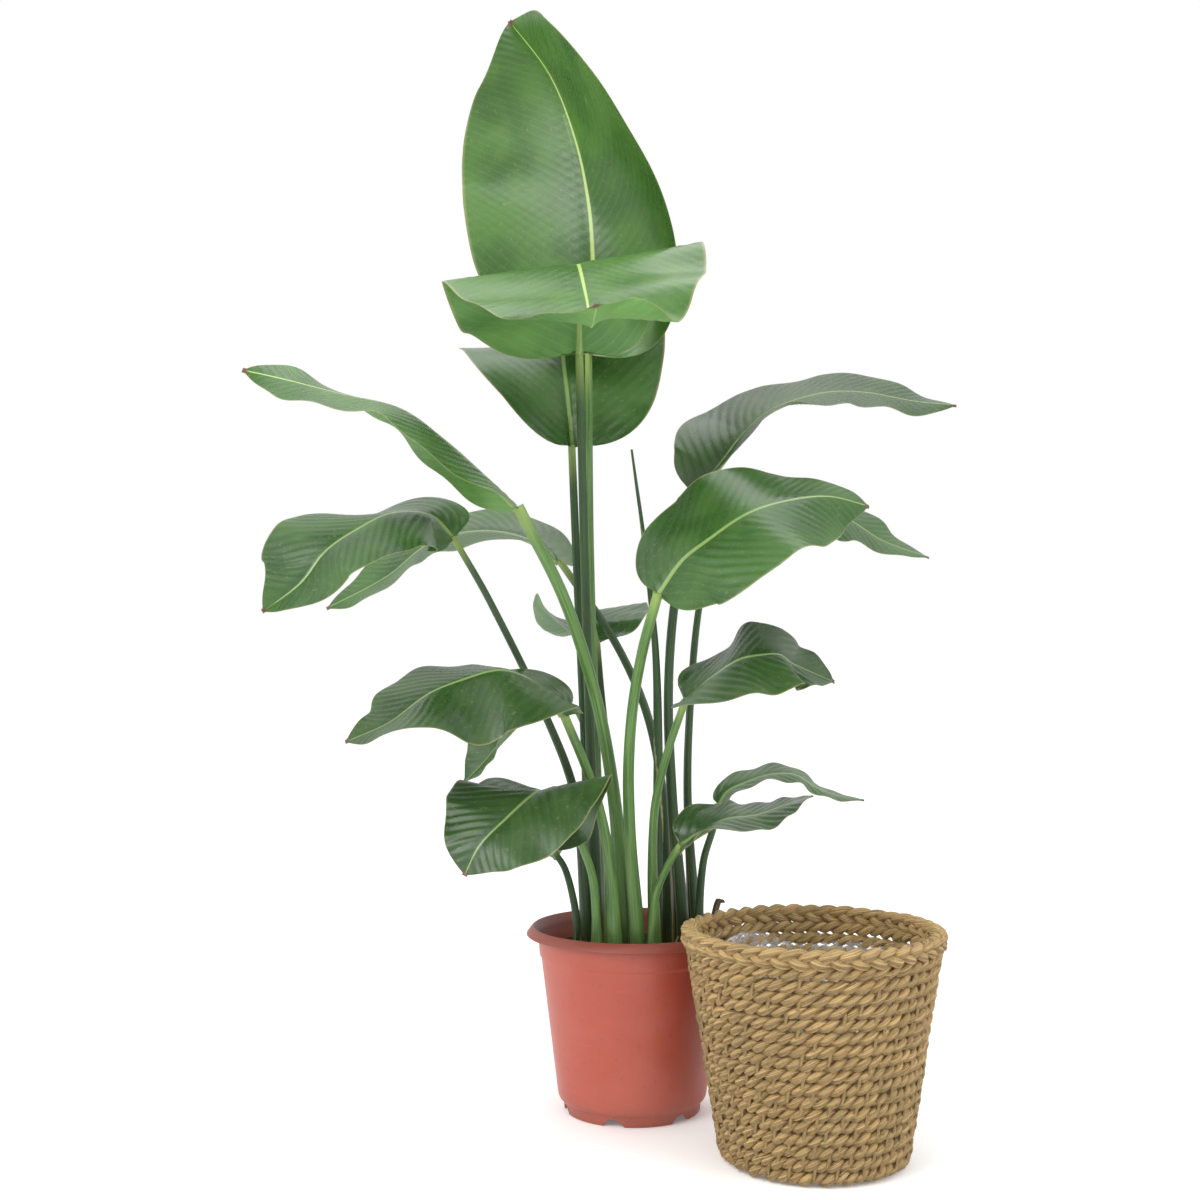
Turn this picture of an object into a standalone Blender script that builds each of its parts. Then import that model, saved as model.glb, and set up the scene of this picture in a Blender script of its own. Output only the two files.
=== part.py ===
"""Potted bird of paradise with its woven basket.

A young Strelitzia in a round nursery pot, with an empty seagrass basket standing beside it.
The origin is at floor level under the middle of the whole, +Z up, metres.  The plant faces -Y.

Each leaf is one blade and one stalk.  A blade is a thin sheet around a midrib: at each station
along the midrib its two halves leave at a fold angle, bend by a curl, and are as wide as one
outline formula says.
"""

import math
from dataclasses import dataclass

import bmesh
import bpy
import numpy as np
from mathutils import Vector

# ---------------------------------------------------------------- driving dimensions (metres)
GAP = 0.0003                    # clearance between pieces that touch

POT_HEIGHT = 0.206
POT_LIP_RADIUS = 0.120
POT_MOUTH_RADIUS = 0.1125
POT_NECK_RADIUS = 0.107
POT_SHOULDER_RADIUS = 0.1035
POT_BASE_RADIUS = 0.0845
POT_FOOT_RADIUS = 0.077
POT_FOOT_HEIGHT = 0.011
POT_WALL = 0.0016
POT_LIP_DROP = 0.009
POT_SHOULDER_HEIGHT = 0.172
POT_SEGMENTS = 40

NOTCH_COUNT = 6
NOTCH_WIDTH = 0.022
NOTCH_HEIGHT = 0.008
NOTCH_FIRST_ANGLE = math.radians(-107)

SOIL_TOP = 0.180

BASKET_HEIGHT = 0.238
BASKET_BASE_RADIUS = 0.097
BASKET_NECK_RADIUS = 0.132
BASKET_WALL = 0.009
BASKET_FLOOR = 0.010
BASKET_BEAD = 0.0095            # radius of the braided rim
BASKET_BEARING = math.radians(-42.5)
BASKET_SEGMENTS = 32

LINER_TOP = 0.214
LINER_WALL = 0.001

BLADE_THICKNESS = 0.0012
BLADE_STATIONS = 10
BLADE_COLUMNS = 3               # faces across each half
BLADE_END_HALF_WIDTH = 0.003

STALK_BEVEL = 0.001             # the curve's unit radius, scaled at each point
STALK_SPACING = 0.045

SPEAR_BASE_RADIUS = 0.0065
SPEAR_TIP_RADIUS = 0.0015


@dataclass
class Leaf:
    """One leaf: its midrib from blade base to tip, its halves and its stalk.

    left and right are fold angles in degrees above the blade's own plane, spaced evenly from the
    base to the tip; curl_left and curl_right bend each half by so many degrees to its margin.
    face is the way the blade's upper side looks.  The stalk's points run up from the soil, and it
    ends its shortfall before the blade.
    """

    name: str
    midrib: list
    half_width: tuple
    face: tuple
    left: tuple
    right: tuple
    stalk: list
    stalk_radii: tuple = (0.0065, 0.0045)
    curl_left: tuple = (0.0, 0.0)
    curl_right: tuple = (0.0, 0.0)
    widest: float = 0.38
    lean: tuple = (-0.25, 0.10, 0.25, 0.30)
    shortfall: float = 0.0009


LEAVES = [
    Leaf(
        "01",
        midrib=[(-0.050, 0.030, 0.865), (-0.045, 0.030, 0.930), (-0.045, 0.030, 0.975),
                (-0.050, 0.035, 1.045), (-0.065, 0.040, 1.120), (-0.095, 0.050, 1.200),
                (-0.145, 0.060, 1.270)],
        half_width=(0.150, 0.150), face=(0, -1, 0), widest=0.42,
        left=(0, 0, -10, 0, 30), right=(10, 35, 65, 80, 80, 40),
        curl_left=(25, 25, 20, 10, 0), curl_right=(40, 95, 80, 30, 0, 0),
        stalk=[(-0.038, 0.030), (-0.040, 0.030, 0.355), (-0.048, 0.030, 0.625)],
    ),
    Leaf(
        "02",
        midrib=[(-0.060, -0.030, 0.855), (-0.060, -0.070, 0.905), (-0.060, -0.140, 0.930),
                (-0.050, -0.220, 0.875), (-0.045, -0.280, 0.835), (-0.040, -0.330, 0.845)],
        half_width=(0.135, 0.145), face=(0, 0.3, 1), lean=(-0.40, 0.00, 0.15, 0.25),
        left=(20, 35, 15, 10, 10, 15, 0, 35, 15), right=(10, -5, -20, -10, -10, -5, 0, 5, -20),
        stalk=[(-0.042, 0.000), (-0.046, 0.000, 0.360), (-0.054, -0.010, 0.620)],
    ),
    Leaf(
        "03",
        midrib=[(-0.070, 0.050, 0.760), (-0.075, 0.055, 0.815), (-0.080, 0.065, 0.860),
                (-0.085, 0.100, 0.930), (-0.090, 0.170, 0.995), (-0.095, 0.270, 0.995)],
        half_width=(0.125, 0.125), face=(0, -0.6, 0.6), lean=(-0.30, 0.10, 0.20, 0.25),
        left=(60, 20, -60, -30, 0), right=(15, 0, 10, 5, 0),
        stalk=[(-0.050, 0.052), (-0.052, 0.052, 0.355), (-0.064, 0.050, 0.620)],
    ),
    Leaf(
        "04",
        midrib=[(-0.125, -0.100, 0.675), (-0.155, -0.105, 0.705), (-0.200, -0.110, 0.745),
                (-0.250, -0.115, 0.780), (-0.315, -0.120, 0.795), (-0.375, -0.120, 0.810),
                (-0.420, -0.120, 0.820)],
        half_width=(0.075, 0.075), face=(0, 0, 1),
        left=(-10, -25, -20, -30, -65), right=(-25, -25, -10, 15, 60),
        stalk=[(-0.008, -0.052), (-0.022, -0.056, 0.365), (-0.040, -0.068, 0.465),
               (-0.075, -0.085, 0.575)],
        stalk_radii=(0.0080, 0.0070),
    ),
    Leaf(
        "05",
        midrib=[(-0.200, -0.050, 0.645), (-0.225, -0.060, 0.670), (-0.265, -0.080, 0.670),
                (-0.300, -0.100, 0.650), (-0.330, -0.120, 0.625), (-0.355, -0.130, 0.590),
                (-0.395, -0.130, 0.560)],
        half_width=(0.085, 0.085), face=(0.2, -0.8, 0.6),
        left=(15, 20, 30, 35, 30), right=(0, -50, -25, 0, 45),
        stalk=[(-0.050, -0.020), (-0.065, -0.022, 0.355), (-0.095, -0.030, 0.440),
               (-0.160, -0.045, 0.575)],
        stalk_radii=(0.0065, 0.0040), shortfall=0.0016,
    ),
    Leaf(
        "06",
        midrib=[(-0.085, 0.080, 0.625), (-0.115, 0.110, 0.650), (-0.160, 0.140, 0.665),
                (-0.210, 0.160, 0.665), (-0.255, 0.170, 0.650), (-0.305, 0.170, 0.610),
                (-0.380, 0.170, 0.570)],
        half_width=(0.075, 0.075), face=(0, 0.1, 1),
        left=(30, -20, -30, -25, -60), right=(-15, 20, 35, 45, 45),
        stalk=[(0.045, 0.048), (0.038, 0.052, 0.340), (0.020, 0.062, 0.440),
               (-0.020, 0.070, 0.530)],
        stalk_radii=(0.0065, 0.0045), shortfall=0.0022,
    ),
    Leaf(
        "07",
        midrib=[(0.070, 0.000, 0.700), (0.095, 0.000, 0.725), (0.130, 0.010, 0.770),
                (0.165, 0.020, 0.800), (0.225, 0.030, 0.820), (0.275, 0.030, 0.820),
                (0.330, 0.030, 0.810), (0.380, 0.030, 0.805)],
        half_width=(0.080, 0.070), face=(0, -0.1, 1),
        left=(90, 25, 15, 25, 10), right=(5, 15, -15, -25, -55),
        stalk=[(0.056, 0.018), (0.046, 0.020, 0.355), (0.042, 0.015, 0.465),
               (0.048, 0.008, 0.565)],
        stalk_radii=(0.0070, 0.0050),
    ),
    Leaf(
        "08",
        midrib=[(0.025, -0.120, 0.580), (0.050, -0.125, 0.615), (0.075, -0.130, 0.635),
                (0.120, -0.130, 0.665), (0.165, -0.120, 0.680), (0.210, -0.110, 0.685),
                (0.255, -0.100, 0.675)],
        half_width=(0.095, 0.090), face=(-0.3, -0.8, 0.5),
        left=(-15, -15, -15, -30, -25), right=(5, 5, 10, -5, 0),
        stalk=[(0.002, -0.072), (-0.006, -0.082, 0.365), (-0.003, -0.092, 0.445),
               (0.008, -0.104, 0.515)],
        stalk_radii=(0.0075, 0.0060),
    ),
    Leaf(
        "09",
        midrib=[(0.095, 0.060, 0.625), (0.135, 0.070, 0.670), (0.190, 0.080, 0.690),
                (0.255, 0.090, 0.680), (0.305, 0.090, 0.650), (0.360, 0.090, 0.630)],
        half_width=(0.060, 0.060), face=(0, 0, 1),
        left=(0, 10, 20, 35, 15), right=(5, -10, -40, -30, -35),
        stalk=[(0.072, 0.042), (0.066, 0.050, 0.355), (0.070, 0.056, 0.460),
               (0.080, 0.060, 0.565)],
        stalk_radii=(0.0060, 0.0040),
    ),
    Leaf(
        "10",
        midrib=[(-0.075, -0.100, 0.450), (-0.090, -0.110, 0.475), (-0.120, -0.130, 0.495),
                (-0.145, -0.140, 0.500), (-0.180, -0.150, 0.490), (-0.215, -0.160, 0.475),
                (-0.255, -0.170, 0.445), (-0.300, -0.170, 0.425)],
        half_width=(0.085, 0.090), face=(0, -0.3, 1),
        left=(45, -25, -35, 10, -15), right=(30, -15, -5, 5, 25),
        stalk=[(-0.020, -0.076), (-0.028, -0.084, 0.305), (-0.045, -0.090, 0.375)],
        stalk_radii=(0.0075, 0.0055),
    ),
    Leaf(
        "11",
        midrib=[(-0.065, 0.072, 0.450), (-0.085, 0.080, 0.455), (-0.120, 0.086, 0.445),
                (-0.150, 0.088, 0.415), (-0.180, 0.088, 0.380), (-0.200, 0.088, 0.360)],
        half_width=(0.050, 0.050), face=(0, 0.2, 1),
        left=(-20, -15, -15, -30, -40), right=(-5, 0, 25, 80, 65),
        stalk=[(-0.030, 0.066), (-0.040, 0.070, 0.355), (-0.050, 0.072, 0.415)],
        stalk_radii=(0.0060, 0.0040), shortfall=0.0020,
    ),
    Leaf(
        "12",
        midrib=[(-0.065, -0.090, 0.325), (-0.075, -0.100, 0.350), (-0.095, -0.120, 0.370),
                (-0.105, -0.140, 0.370), (-0.135, -0.170, 0.345), (-0.160, -0.185, 0.320),
                (-0.175, -0.190, 0.290)],
        half_width=(0.085, 0.085), face=(0, -0.6, 0.8),
        left=(10, 35, 10, 0, 5), right=(-45, -35, -5, 5, 10),
        stalk=[(-0.040, -0.074), (-0.044, -0.082, 0.270), (-0.055, -0.088, 0.305)],
        stalk_radii=(0.0055, 0.0045),
    ),
    Leaf(
        "13",
        midrib=[(-0.090, -0.030, 0.295), (-0.090, 0.000, 0.305), (-0.090, 0.040, 0.300),
                (-0.090, 0.080, 0.285), (-0.090, 0.110, 0.265)],
        half_width=(0.040, 0.018), face=(0, 0.2, 1),
        left=(0, 0), right=(0, 0),
        stalk=[(-0.062, -0.044), (-0.066, -0.042, 0.240), (-0.076, -0.036, 0.275)],
        stalk_radii=(0.0050, 0.0035), shortfall=0.0026,
    ),
    Leaf(
        "14",
        midrib=[(-0.040, 0.088, 0.530), (-0.045, 0.105, 0.550), (-0.050, 0.145, 0.565),
                (-0.055, 0.200, 0.560), (-0.055, 0.270, 0.545)],
        half_width=(0.085, 0.075), face=(0, 0.1, 1),
        left=(15, 20, 0, -15, 0), right=(20, 5, 10, 0, 0), curl_left=(60, 120, 120, 60),
        stalk=[(-0.008, 0.070), (-0.022, 0.078, 0.350), (-0.034, 0.084, 0.460)],
        stalk_radii=(0.0055, 0.0035),
    ),
    Leaf(
        "15",
        midrib=[(0.055, -0.100, 0.465), (0.080, -0.120, 0.490), (0.110, -0.130, 0.510),
                (0.135, -0.130, 0.515), (0.155, -0.125, 0.515), (0.170, -0.120, 0.505),
                (0.215, -0.110, 0.485)],
        half_width=(0.070, 0.070), face=(0, -0.6, 0.8),
        left=(25, -25, -5, -5, 20), right=(40, 15, 0, 15, 20),
        stalk=[(0.022, -0.060), (0.022, -0.068, 0.335), (0.034, -0.086, 0.400)],
        stalk_radii=(0.0065, 0.0045),
    ),
    Leaf(
        "16",
        midrib=[(0.100, 0.030, 0.340), (0.110, 0.030, 0.355), (0.130, 0.030, 0.365),
                (0.160, 0.030, 0.375), (0.190, 0.030, 0.375), (0.215, 0.030, 0.360),
                (0.240, 0.030, 0.350), (0.270, 0.030, 0.345)],
        half_width=(0.035, 0.035), face=(0, 0, 1),
        left=(30, 15, 10, 5, 5), right=(-25, -5, -15, -15, -20),
        stalk=[(0.076, 0.004), (0.082, 0.014, 0.275), (0.095, 0.026, 0.315)],
        stalk_radii=(0.0055, 0.0040), shortfall=0.0014,
    ),
    Leaf(
        "17",
        midrib=[(0.050, -0.100, 0.310), (0.070, -0.110, 0.325), (0.095, -0.120, 0.340),
                (0.130, -0.120, 0.345), (0.160, -0.120, 0.355), (0.190, -0.120, 0.365)],
        half_width=(0.050, 0.050), face=(0, -0.4, 0.9),
        left=(60, 0, -15, -20, -20), right=(-5, 20, 10, 10, 25),
        stalk=[(0.020, -0.082), (0.024, -0.088, 0.255), (0.038, -0.095, 0.290)],
        stalk_radii=(0.0055, 0.0040),
    ),
]

SPEAR_ROUTE = [(0.028, 0.006), (0.030, 0.010, 0.360), (0.028, 0.012, 0.510),
               (0.016, 0.012, 0.630), (0.000, 0.010, 0.750)]

# ---------------------------------------------------------------- materials
COLOURS = {
    "terracotta_plastic": ((0.33, 0.085, 0.06), 0.45),
    "dark_soil": ((0.012, 0.009, 0.007), 0.95),
    "seagrass": ((0.42, 0.27, 0.11), 0.80),
    "clear_film": ((0.86, 0.88, 0.88), 0.12),
    "leaf_green": ((0.045, 0.14, 0.022), 0.38),
    "stalk_green": ((0.13, 0.24, 0.06), 0.45),
    "dry_leaf": ((0.20, 0.15, 0.07), 0.75),
}


def make_material(name):
    """A plain Principled material from COLOURS."""
    colour, roughness = COLOURS[name]
    material = bpy.data.materials.new(name)
    material.use_nodes = True
    shader = material.node_tree.nodes["Principled BSDF"]
    shader.inputs["Base Color"].default_value = (*colour, 1.0)
    shader.inputs["Roughness"].default_value = roughness
    shader.inputs["Metallic"].default_value = 0.0
    return material


# ---------------------------------------------------------------- smooth routes
def hermite(points, knots, wanted):
    """Smooth curve through points at knots, read at the wanted places."""
    points = np.asarray(points, dtype=float)
    if points.ndim == 1:
        points = points[:, None]
    last = len(points) - 1
    slopes = np.array([
        (points[min(i + 1, last)] - points[max(i - 1, 0)])
        / (knots[min(i + 1, last)] - knots[max(i - 1, 0)])
        for i in range(last + 1)
    ])
    wanted = np.clip(wanted, knots[0], knots[-1])
    i = np.clip(np.searchsorted(knots, wanted, side="right") - 1, 0, last - 1)
    span = (knots[i + 1] - knots[i])[:, None]
    u = ((wanted - knots[i])[:, None]) / span
    return (
        (2 * u**3 - 3 * u**2 + 1) * points[i]
        + (u**3 - 2 * u**2 + u) * span * slopes[i]
        + (3 * u**2 - 2 * u**3) * points[i + 1]
        + (u**3 - u**2) * span * slopes[i + 1]
    )


def spread(values, fractions):
    """Values spaced evenly over 0..1, read smoothly at the fractions."""
    return hermite(values, np.linspace(0, 1, len(values)), fractions)[:, 0]


def smooth_route(points, fractions):
    """Points and unit directions at fractions of the length of a smooth route."""
    points = np.asarray(points, dtype=float)
    knots = np.r_[0, np.cumsum(np.linalg.norm(np.diff(points, axis=0), axis=1))]
    dense = hermite(points, knots, np.linspace(0, knots[-1], 400))
    along = np.r_[0, np.cumsum(np.linalg.norm(np.diff(dense, axis=0), axis=1))]
    length = along[-1]

    def read(distance):
        distance = np.clip(distance, 0, length)
        return np.stack([np.interp(distance, along, dense[:, k]) for k in range(3)], axis=-1)

    distance = np.asarray(fractions) * length
    step = length * 0.004
    direction = read(distance + step) - read(distance - step)
    direction /= np.linalg.norm(direction, axis=1)[:, None]
    return read(distance), direction, length


def outline(fractions, widest):
    """Half-width of a blade along its length, as a share of its widest."""
    rise = np.sqrt(np.clip(1 - (1 - np.minimum(fractions, widest) / widest) ** 2.3, 0, 1))
    past = np.clip((fractions - widest) / (1 - widest), 0, 1)
    fall = (1 - past**1.9) ** 0.95
    return np.where(fractions < widest, rise, fall)


def blade_grid(leaf, stations, columns):
    """Grid of points over a blade: stations along, columns faces across each half."""
    fractions = np.linspace(0, 1, stations)
    across = np.linspace(0, 1, columns + 1)
    middle, direction, _ = smooth_route(leaf.midrib, fractions)
    face = np.asarray(leaf.face, dtype=float)
    normal = face - (direction @ face)[:, None] * direction
    normal /= np.linalg.norm(normal, axis=1)[:, None]
    sideways = np.cross(direction, normal)
    lean = spread(leaf.lean, fractions)[:, None]
    halves = []
    settings = (
        (-1, leaf.half_width[0], leaf.left, leaf.curl_left),
        (1, leaf.half_width[1], leaf.right, leaf.curl_right),
    )
    for side, half_width, fold, curl in settings:
        width = (outline(fractions, leaf.widest) * half_width)[:, None]
        leaning = lean * np.maximum(width - BLADE_END_HALF_WIDTH, 0)
        width = np.maximum(width, BLADE_END_HALF_WIDTH)
        bend = np.radians(spread(curl, fractions))
        bend = np.where(np.abs(bend) < 1e-3, 1e-3, bend)[:, None]
        start = np.radians(spread(fold, fractions))[:, None] - bend / 2
        angle = start + bend * across
        out = width * (np.sin(angle) - np.sin(start)) / bend
        up = width * (np.cos(start) - np.cos(angle)) / bend
        halves.append(
            middle[:, None]
            + side * out[..., None] * sideways[:, None]
            + up[..., None] * normal[:, None]
            + (leaning * across)[..., None] * direction[:, None]
        )
    return np.concatenate([halves[0][:, :0:-1], halves[1]], axis=1)


# ---------------------------------------------------------------- object helpers
def finish_mesh(name, bm, material):
    """Turn a bmesh into a named object with outward faces and one material."""
    bmesh.ops.recalc_face_normals(bm, faces=bm.faces)
    mesh = bpy.data.meshes.new(name)
    bm.to_mesh(mesh)
    bm.free()
    mesh.materials.append(material)
    mesh.shade_smooth()
    mesh.set_sharp_from_angle(angle=math.radians(40))
    thing = bpy.data.objects.new(name, mesh)
    bpy.context.collection.objects.link(thing)
    return thing


def turned(name, profile, segments, material, centre=(0.0, 0.0)):
    """A solid of revolution about a vertical axis from an (r, z) profile."""
    bm = bmesh.new()
    closed = profile[0][0] > 0
    verts = [bm.verts.new((r, 0, z)) for r, z in profile]
    edges = [bm.edges.new(pair) for pair in zip(verts, verts[1:])]
    if closed:
        edges.append(bm.edges.new((verts[-1], verts[0])))
    bmesh.ops.spin(bm, geom=verts + edges, axis=(0, 0, 1), cent=(0, 0, 0),
                   angle=2 * math.pi, steps=segments, use_duplicate=False)
    bmesh.ops.remove_doubles(bm, verts=bm.verts, dist=1e-6)
    bmesh.ops.translate(bm, verts=bm.verts, vec=(*centre, 0))
    return finish_mesh(name, bm, material)


def arc(centre, radius, start, end, steps):
    """(r, z) points along an arc, angles in degrees from the outward direction."""
    return [
        (centre[0] + radius * math.cos(math.radians(a)), centre[1] + radius * math.sin(math.radians(a)))
        for a in np.linspace(start, end, steps + 1)
    ]


def sheet(name, grid, material, thickness):
    """A thin solid from a grid of points, thickened evenly to both sides."""
    bm = bmesh.new()
    rows = [[bm.verts.new(point) for point in row] for row in grid]
    for low, high in zip(rows, rows[1:]):
        for i in range(len(low) - 1):
            bm.faces.new((low[i], low[i + 1], high[i + 1], high[i]))
    thing = finish_mesh(name, bm, material)
    solid = thing.modifiers.new("thickness", "SOLIDIFY")
    solid.thickness = thickness
    solid.offset = 0
    solid.use_even_offset = False
    return thing


def tube(name, route, radii, material, points):
    """A tapering tube along a smooth route, as a bevelled curve with filled ends."""
    fractions = np.linspace(0, 1, points)
    places, _, _ = smooth_route(route, fractions)
    curve = bpy.data.curves.new(name, "CURVE")
    curve.dimensions = "3D"
    curve.bevel_depth = STALK_BEVEL
    curve.bevel_resolution = 2
    curve.use_fill_caps = True
    spline = curve.splines.new("POLY")
    spline.points.add(points - 1)
    for point, place, fraction in zip(spline.points, places, fractions):
        point.co = (*place, 1)
        point.radius = (radii[0] + (radii[1] - radii[0]) * fraction) / STALK_BEVEL
    curve.materials.append(material)
    thing = bpy.data.objects.new(name, curve)
    bpy.context.collection.objects.link(thing)
    return thing


# ---------------------------------------------------------------- pieces
def pot_profile():
    """Outside and inside of the pot wall, from under its plate round to the inside floor."""
    plate = POT_FOOT_HEIGHT - 0.002
    return [
        (0.0, plate),
        (POT_FOOT_RADIUS - 0.003, plate),
        (POT_FOOT_RADIUS - 0.003, 0.0),
        (POT_FOOT_RADIUS, 0.0),
        (POT_FOOT_RADIUS + 0.001, POT_FOOT_HEIGHT),
        (POT_BASE_RADIUS - 0.002, POT_FOOT_HEIGHT + 0.003),
        (POT_BASE_RADIUS, POT_FOOT_HEIGHT + 0.010),
        (POT_SHOULDER_RADIUS, POT_SHOULDER_HEIGHT),
        (POT_SHOULDER_RADIUS + 0.0018, POT_SHOULDER_HEIGHT + 0.002),
        (POT_NECK_RADIUS, POT_HEIGHT - POT_LIP_DROP - 0.001),
        (POT_LIP_RADIUS - 0.001, POT_HEIGHT - POT_LIP_DROP - 0.001),
        (POT_LIP_RADIUS, POT_HEIGHT - POT_LIP_DROP),
        (POT_MOUTH_RADIUS, POT_HEIGHT),
        (POT_MOUTH_RADIUS - 0.0015, POT_HEIGHT - 0.001),
        (POT_NECK_RADIUS - POT_WALL, POT_HEIGHT - POT_LIP_DROP - 0.001),
        (POT_SHOULDER_RADIUS - POT_WALL, POT_SHOULDER_HEIGHT),
        (POT_BASE_RADIUS - POT_WALL, POT_FOOT_HEIGHT + 0.010),
        (POT_BASE_RADIUS - 0.004, POT_FOOT_HEIGHT + 0.001),
        (0.0, POT_FOOT_HEIGHT + 0.001),
    ]


def build_pot(material):
    """Nursery pot with arched drainage notches cut through its foot ring."""
    pot = turned("nursery_pot", pot_profile(), POT_SEGMENTS, material)
    bm = bmesh.new()
    for i in range(NOTCH_COUNT):
        angle = NOTCH_FIRST_ANGLE + i * 2 * math.pi / NOTCH_COUNT
        made = bmesh.ops.create_cone(bm, cap_ends=True, segments=12, radius1=1.0, radius2=1.0, depth=0.02)
        bmesh.ops.rotate(bm, verts=made["verts"], cent=(0, 0, 0),
                         matrix=Vector((0, 0, 1)).rotation_difference(Vector((0, 1, 0))).to_matrix())
        bmesh.ops.scale(bm, verts=made["verts"], vec=(NOTCH_WIDTH / 2, 1, NOTCH_HEIGHT))
        turn = Vector((0, 1, 0)).rotation_difference(Vector((math.cos(angle), math.sin(angle), 0)))
        bmesh.ops.rotate(bm, verts=made["verts"], cent=(0, 0, 0), matrix=turn.to_matrix())
        reach = POT_FOOT_RADIUS + 0.002
        bmesh.ops.translate(bm, verts=made["verts"],
                            vec=(reach * math.cos(angle), reach * math.sin(angle), 0))
    cutter = finish_mesh("notch_cutter", bm, material)
    cutter.hide_render = True
    cutter.display_type = "WIRE"
    cut = pot.modifiers.new("notches", "BOOLEAN")
    cut.operation = "DIFFERENCE"
    cut.object = cutter
    return [pot, cutter]


def build_soil(material):
    """Potting soil filling the pot to a little below its mouth."""
    side = POT_WALL + 2 * GAP
    bottom = POT_FOOT_HEIGHT + 0.001 + GAP
    mouth = POT_SHOULDER_RADIUS + (POT_NECK_RADIUS - POT_SHOULDER_RADIUS) * 0.3 - side
    profile = [
        (0.0, bottom),
        (POT_BASE_RADIUS - 0.006, bottom),
        (POT_BASE_RADIUS - side - 0.0005, POT_FOOT_HEIGHT + 0.011),
        (POT_SHOULDER_RADIUS - side, POT_SHOULDER_HEIGHT),
        (mouth, SOIL_TOP - 0.001),
        (mouth - 0.003, SOIL_TOP),
        (0.0, SOIL_TOP),
    ]
    return turned("potting_soil", profile, POT_SEGMENTS, material)


def basket_radius(height):
    """Outer radius of the basket's wall at a height."""
    share = height / (BASKET_HEIGHT - 2 * BASKET_BEAD)
    return BASKET_BASE_RADIUS + (BASKET_NECK_RADIUS - BASKET_BASE_RADIUS) * share


def basket_centre():
    """The basket stands with its side against the pot's lip."""
    away = POT_LIP_RADIUS + basket_radius(POT_HEIGHT - POT_LIP_DROP) - GAP
    return away * math.cos(BASKET_BEARING), away * math.sin(BASKET_BEARING)


def build_basket(material):
    """Woven basket as one wall with a braided rim bead and a flat floor."""
    top = BASKET_HEIGHT - 2 * BASKET_BEAD
    heights = np.linspace(0.0, top - 0.002, 5)
    outside = [(basket_radius(z), z) for z in heights]
    bead_centre = (BASKET_NECK_RADIUS - BASKET_WALL / 2, BASKET_HEIGHT - BASKET_BEAD)
    bead = arc(bead_centre, BASKET_BEAD, -55, 235, 5)
    inside = [(basket_radius(z) - BASKET_WALL, z) for z in heights[:0:-1]]
    floor = [(basket_radius(BASKET_FLOOR) - BASKET_WALL, BASKET_FLOOR), (0.0, BASKET_FLOOR)]
    profile = [(0.0, 0.0)] + outside + bead + inside + floor
    return turned("basket", profile, BASKET_SEGMENTS, material, basket_centre())


def build_liner(material):
    """Clear film bag that lines the basket to a little below its rim."""
    gap = 2 * GAP
    bottom = BASKET_FLOOR + GAP
    heights = np.linspace(bottom + 0.012, LINER_TOP, 4)
    outside = [(basket_radius(z) - BASKET_WALL - gap, z) for z in heights]
    inside = [(r - LINER_WALL, z) for r, z in reversed(outside)]
    corner = basket_radius(bottom) - BASKET_WALL - gap
    profile = (
        [(0.0, bottom), (corner - 0.008, bottom)] + outside + inside
        + [(corner - 0.009, bottom + LINER_WALL), (0.0, bottom + LINER_WALL)]
    )
    return turned("basket_liner", profile, BASKET_SEGMENTS, material, basket_centre())


def stalk_route(leaf):
    """Points of a stalk from just above the soil to just below its blade."""
    base = (*leaf.stalk[0], SOIL_TOP + 2 * GAP)
    rise = (*leaf.stalk[0], SOIL_TOP + 0.030)
    top = np.asarray(leaf.midrib[0])
    arriving = top - np.asarray(leaf.stalk[-1])
    end = top - arriving / np.linalg.norm(arriving) * leaf.shortfall
    return [base, rise] + leaf.stalk[1:] + [tuple(end)]


def build_leaf(leaf, blade_material, stalk_material):
    """Blade and stalk of one leaf."""
    blade = sheet("leaf_" + leaf.name, blade_grid(leaf, BLADE_STATIONS, BLADE_COLUMNS),
                  blade_material, BLADE_THICKNESS)
    route = stalk_route(leaf)
    length = smooth_route(route, [0, 1])[2]
    points = max(5, round(length / STALK_SPACING))
    stalk = tube("stalk_" + leaf.name, route, leaf.stalk_radii, stalk_material, points)
    return [blade, stalk]


def build_spear(material):
    """One new leaf, still rolled into a spear."""
    first = SPEAR_ROUTE[0]
    route = [(*first, SOIL_TOP + 2 * GAP), (*first, SOIL_TOP + 0.030)] + SPEAR_ROUTE[1:]
    return tube("spear_leaf", route, (SPEAR_BASE_RADIUS, SPEAR_TIP_RADIUS), material, 13)


def build_sheath(material):
    """Old dry leaf sheath, curled over beside the rear stalks."""
    rows = []
    for share in np.linspace(0, 1, 6):
        height = SOIL_TOP + GAP + 0.0005 + 0.058 * math.sin(share * 1.9) / math.sin(math.pi / 2)
        out = 0.085 + 0.018 * share
        half = 0.012 * (1 - 0.75 * share)
        rows.append([
            (out + 0.006 * math.cos(a) - 0.006, -0.030 + half * a, height)
            for a in np.linspace(-1, 1, 5)
        ])
    return sheet("dry_sheath", rows, material, 0.0010)


def build_strand(material):
    """Thin dry strand that lies on the soil and leans up beside the stalks."""
    route = [(0.024, -0.097, SOIL_TOP + 0.0018), (0.034, -0.080, SOIL_TOP + 0.003),
             (0.044, -0.062, SOIL_TOP + 0.012), (0.050, -0.050, SOIL_TOP + 0.022)]
    return tube("dry_strand", route, (0.0012, 0.0009), material, 6)


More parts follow.
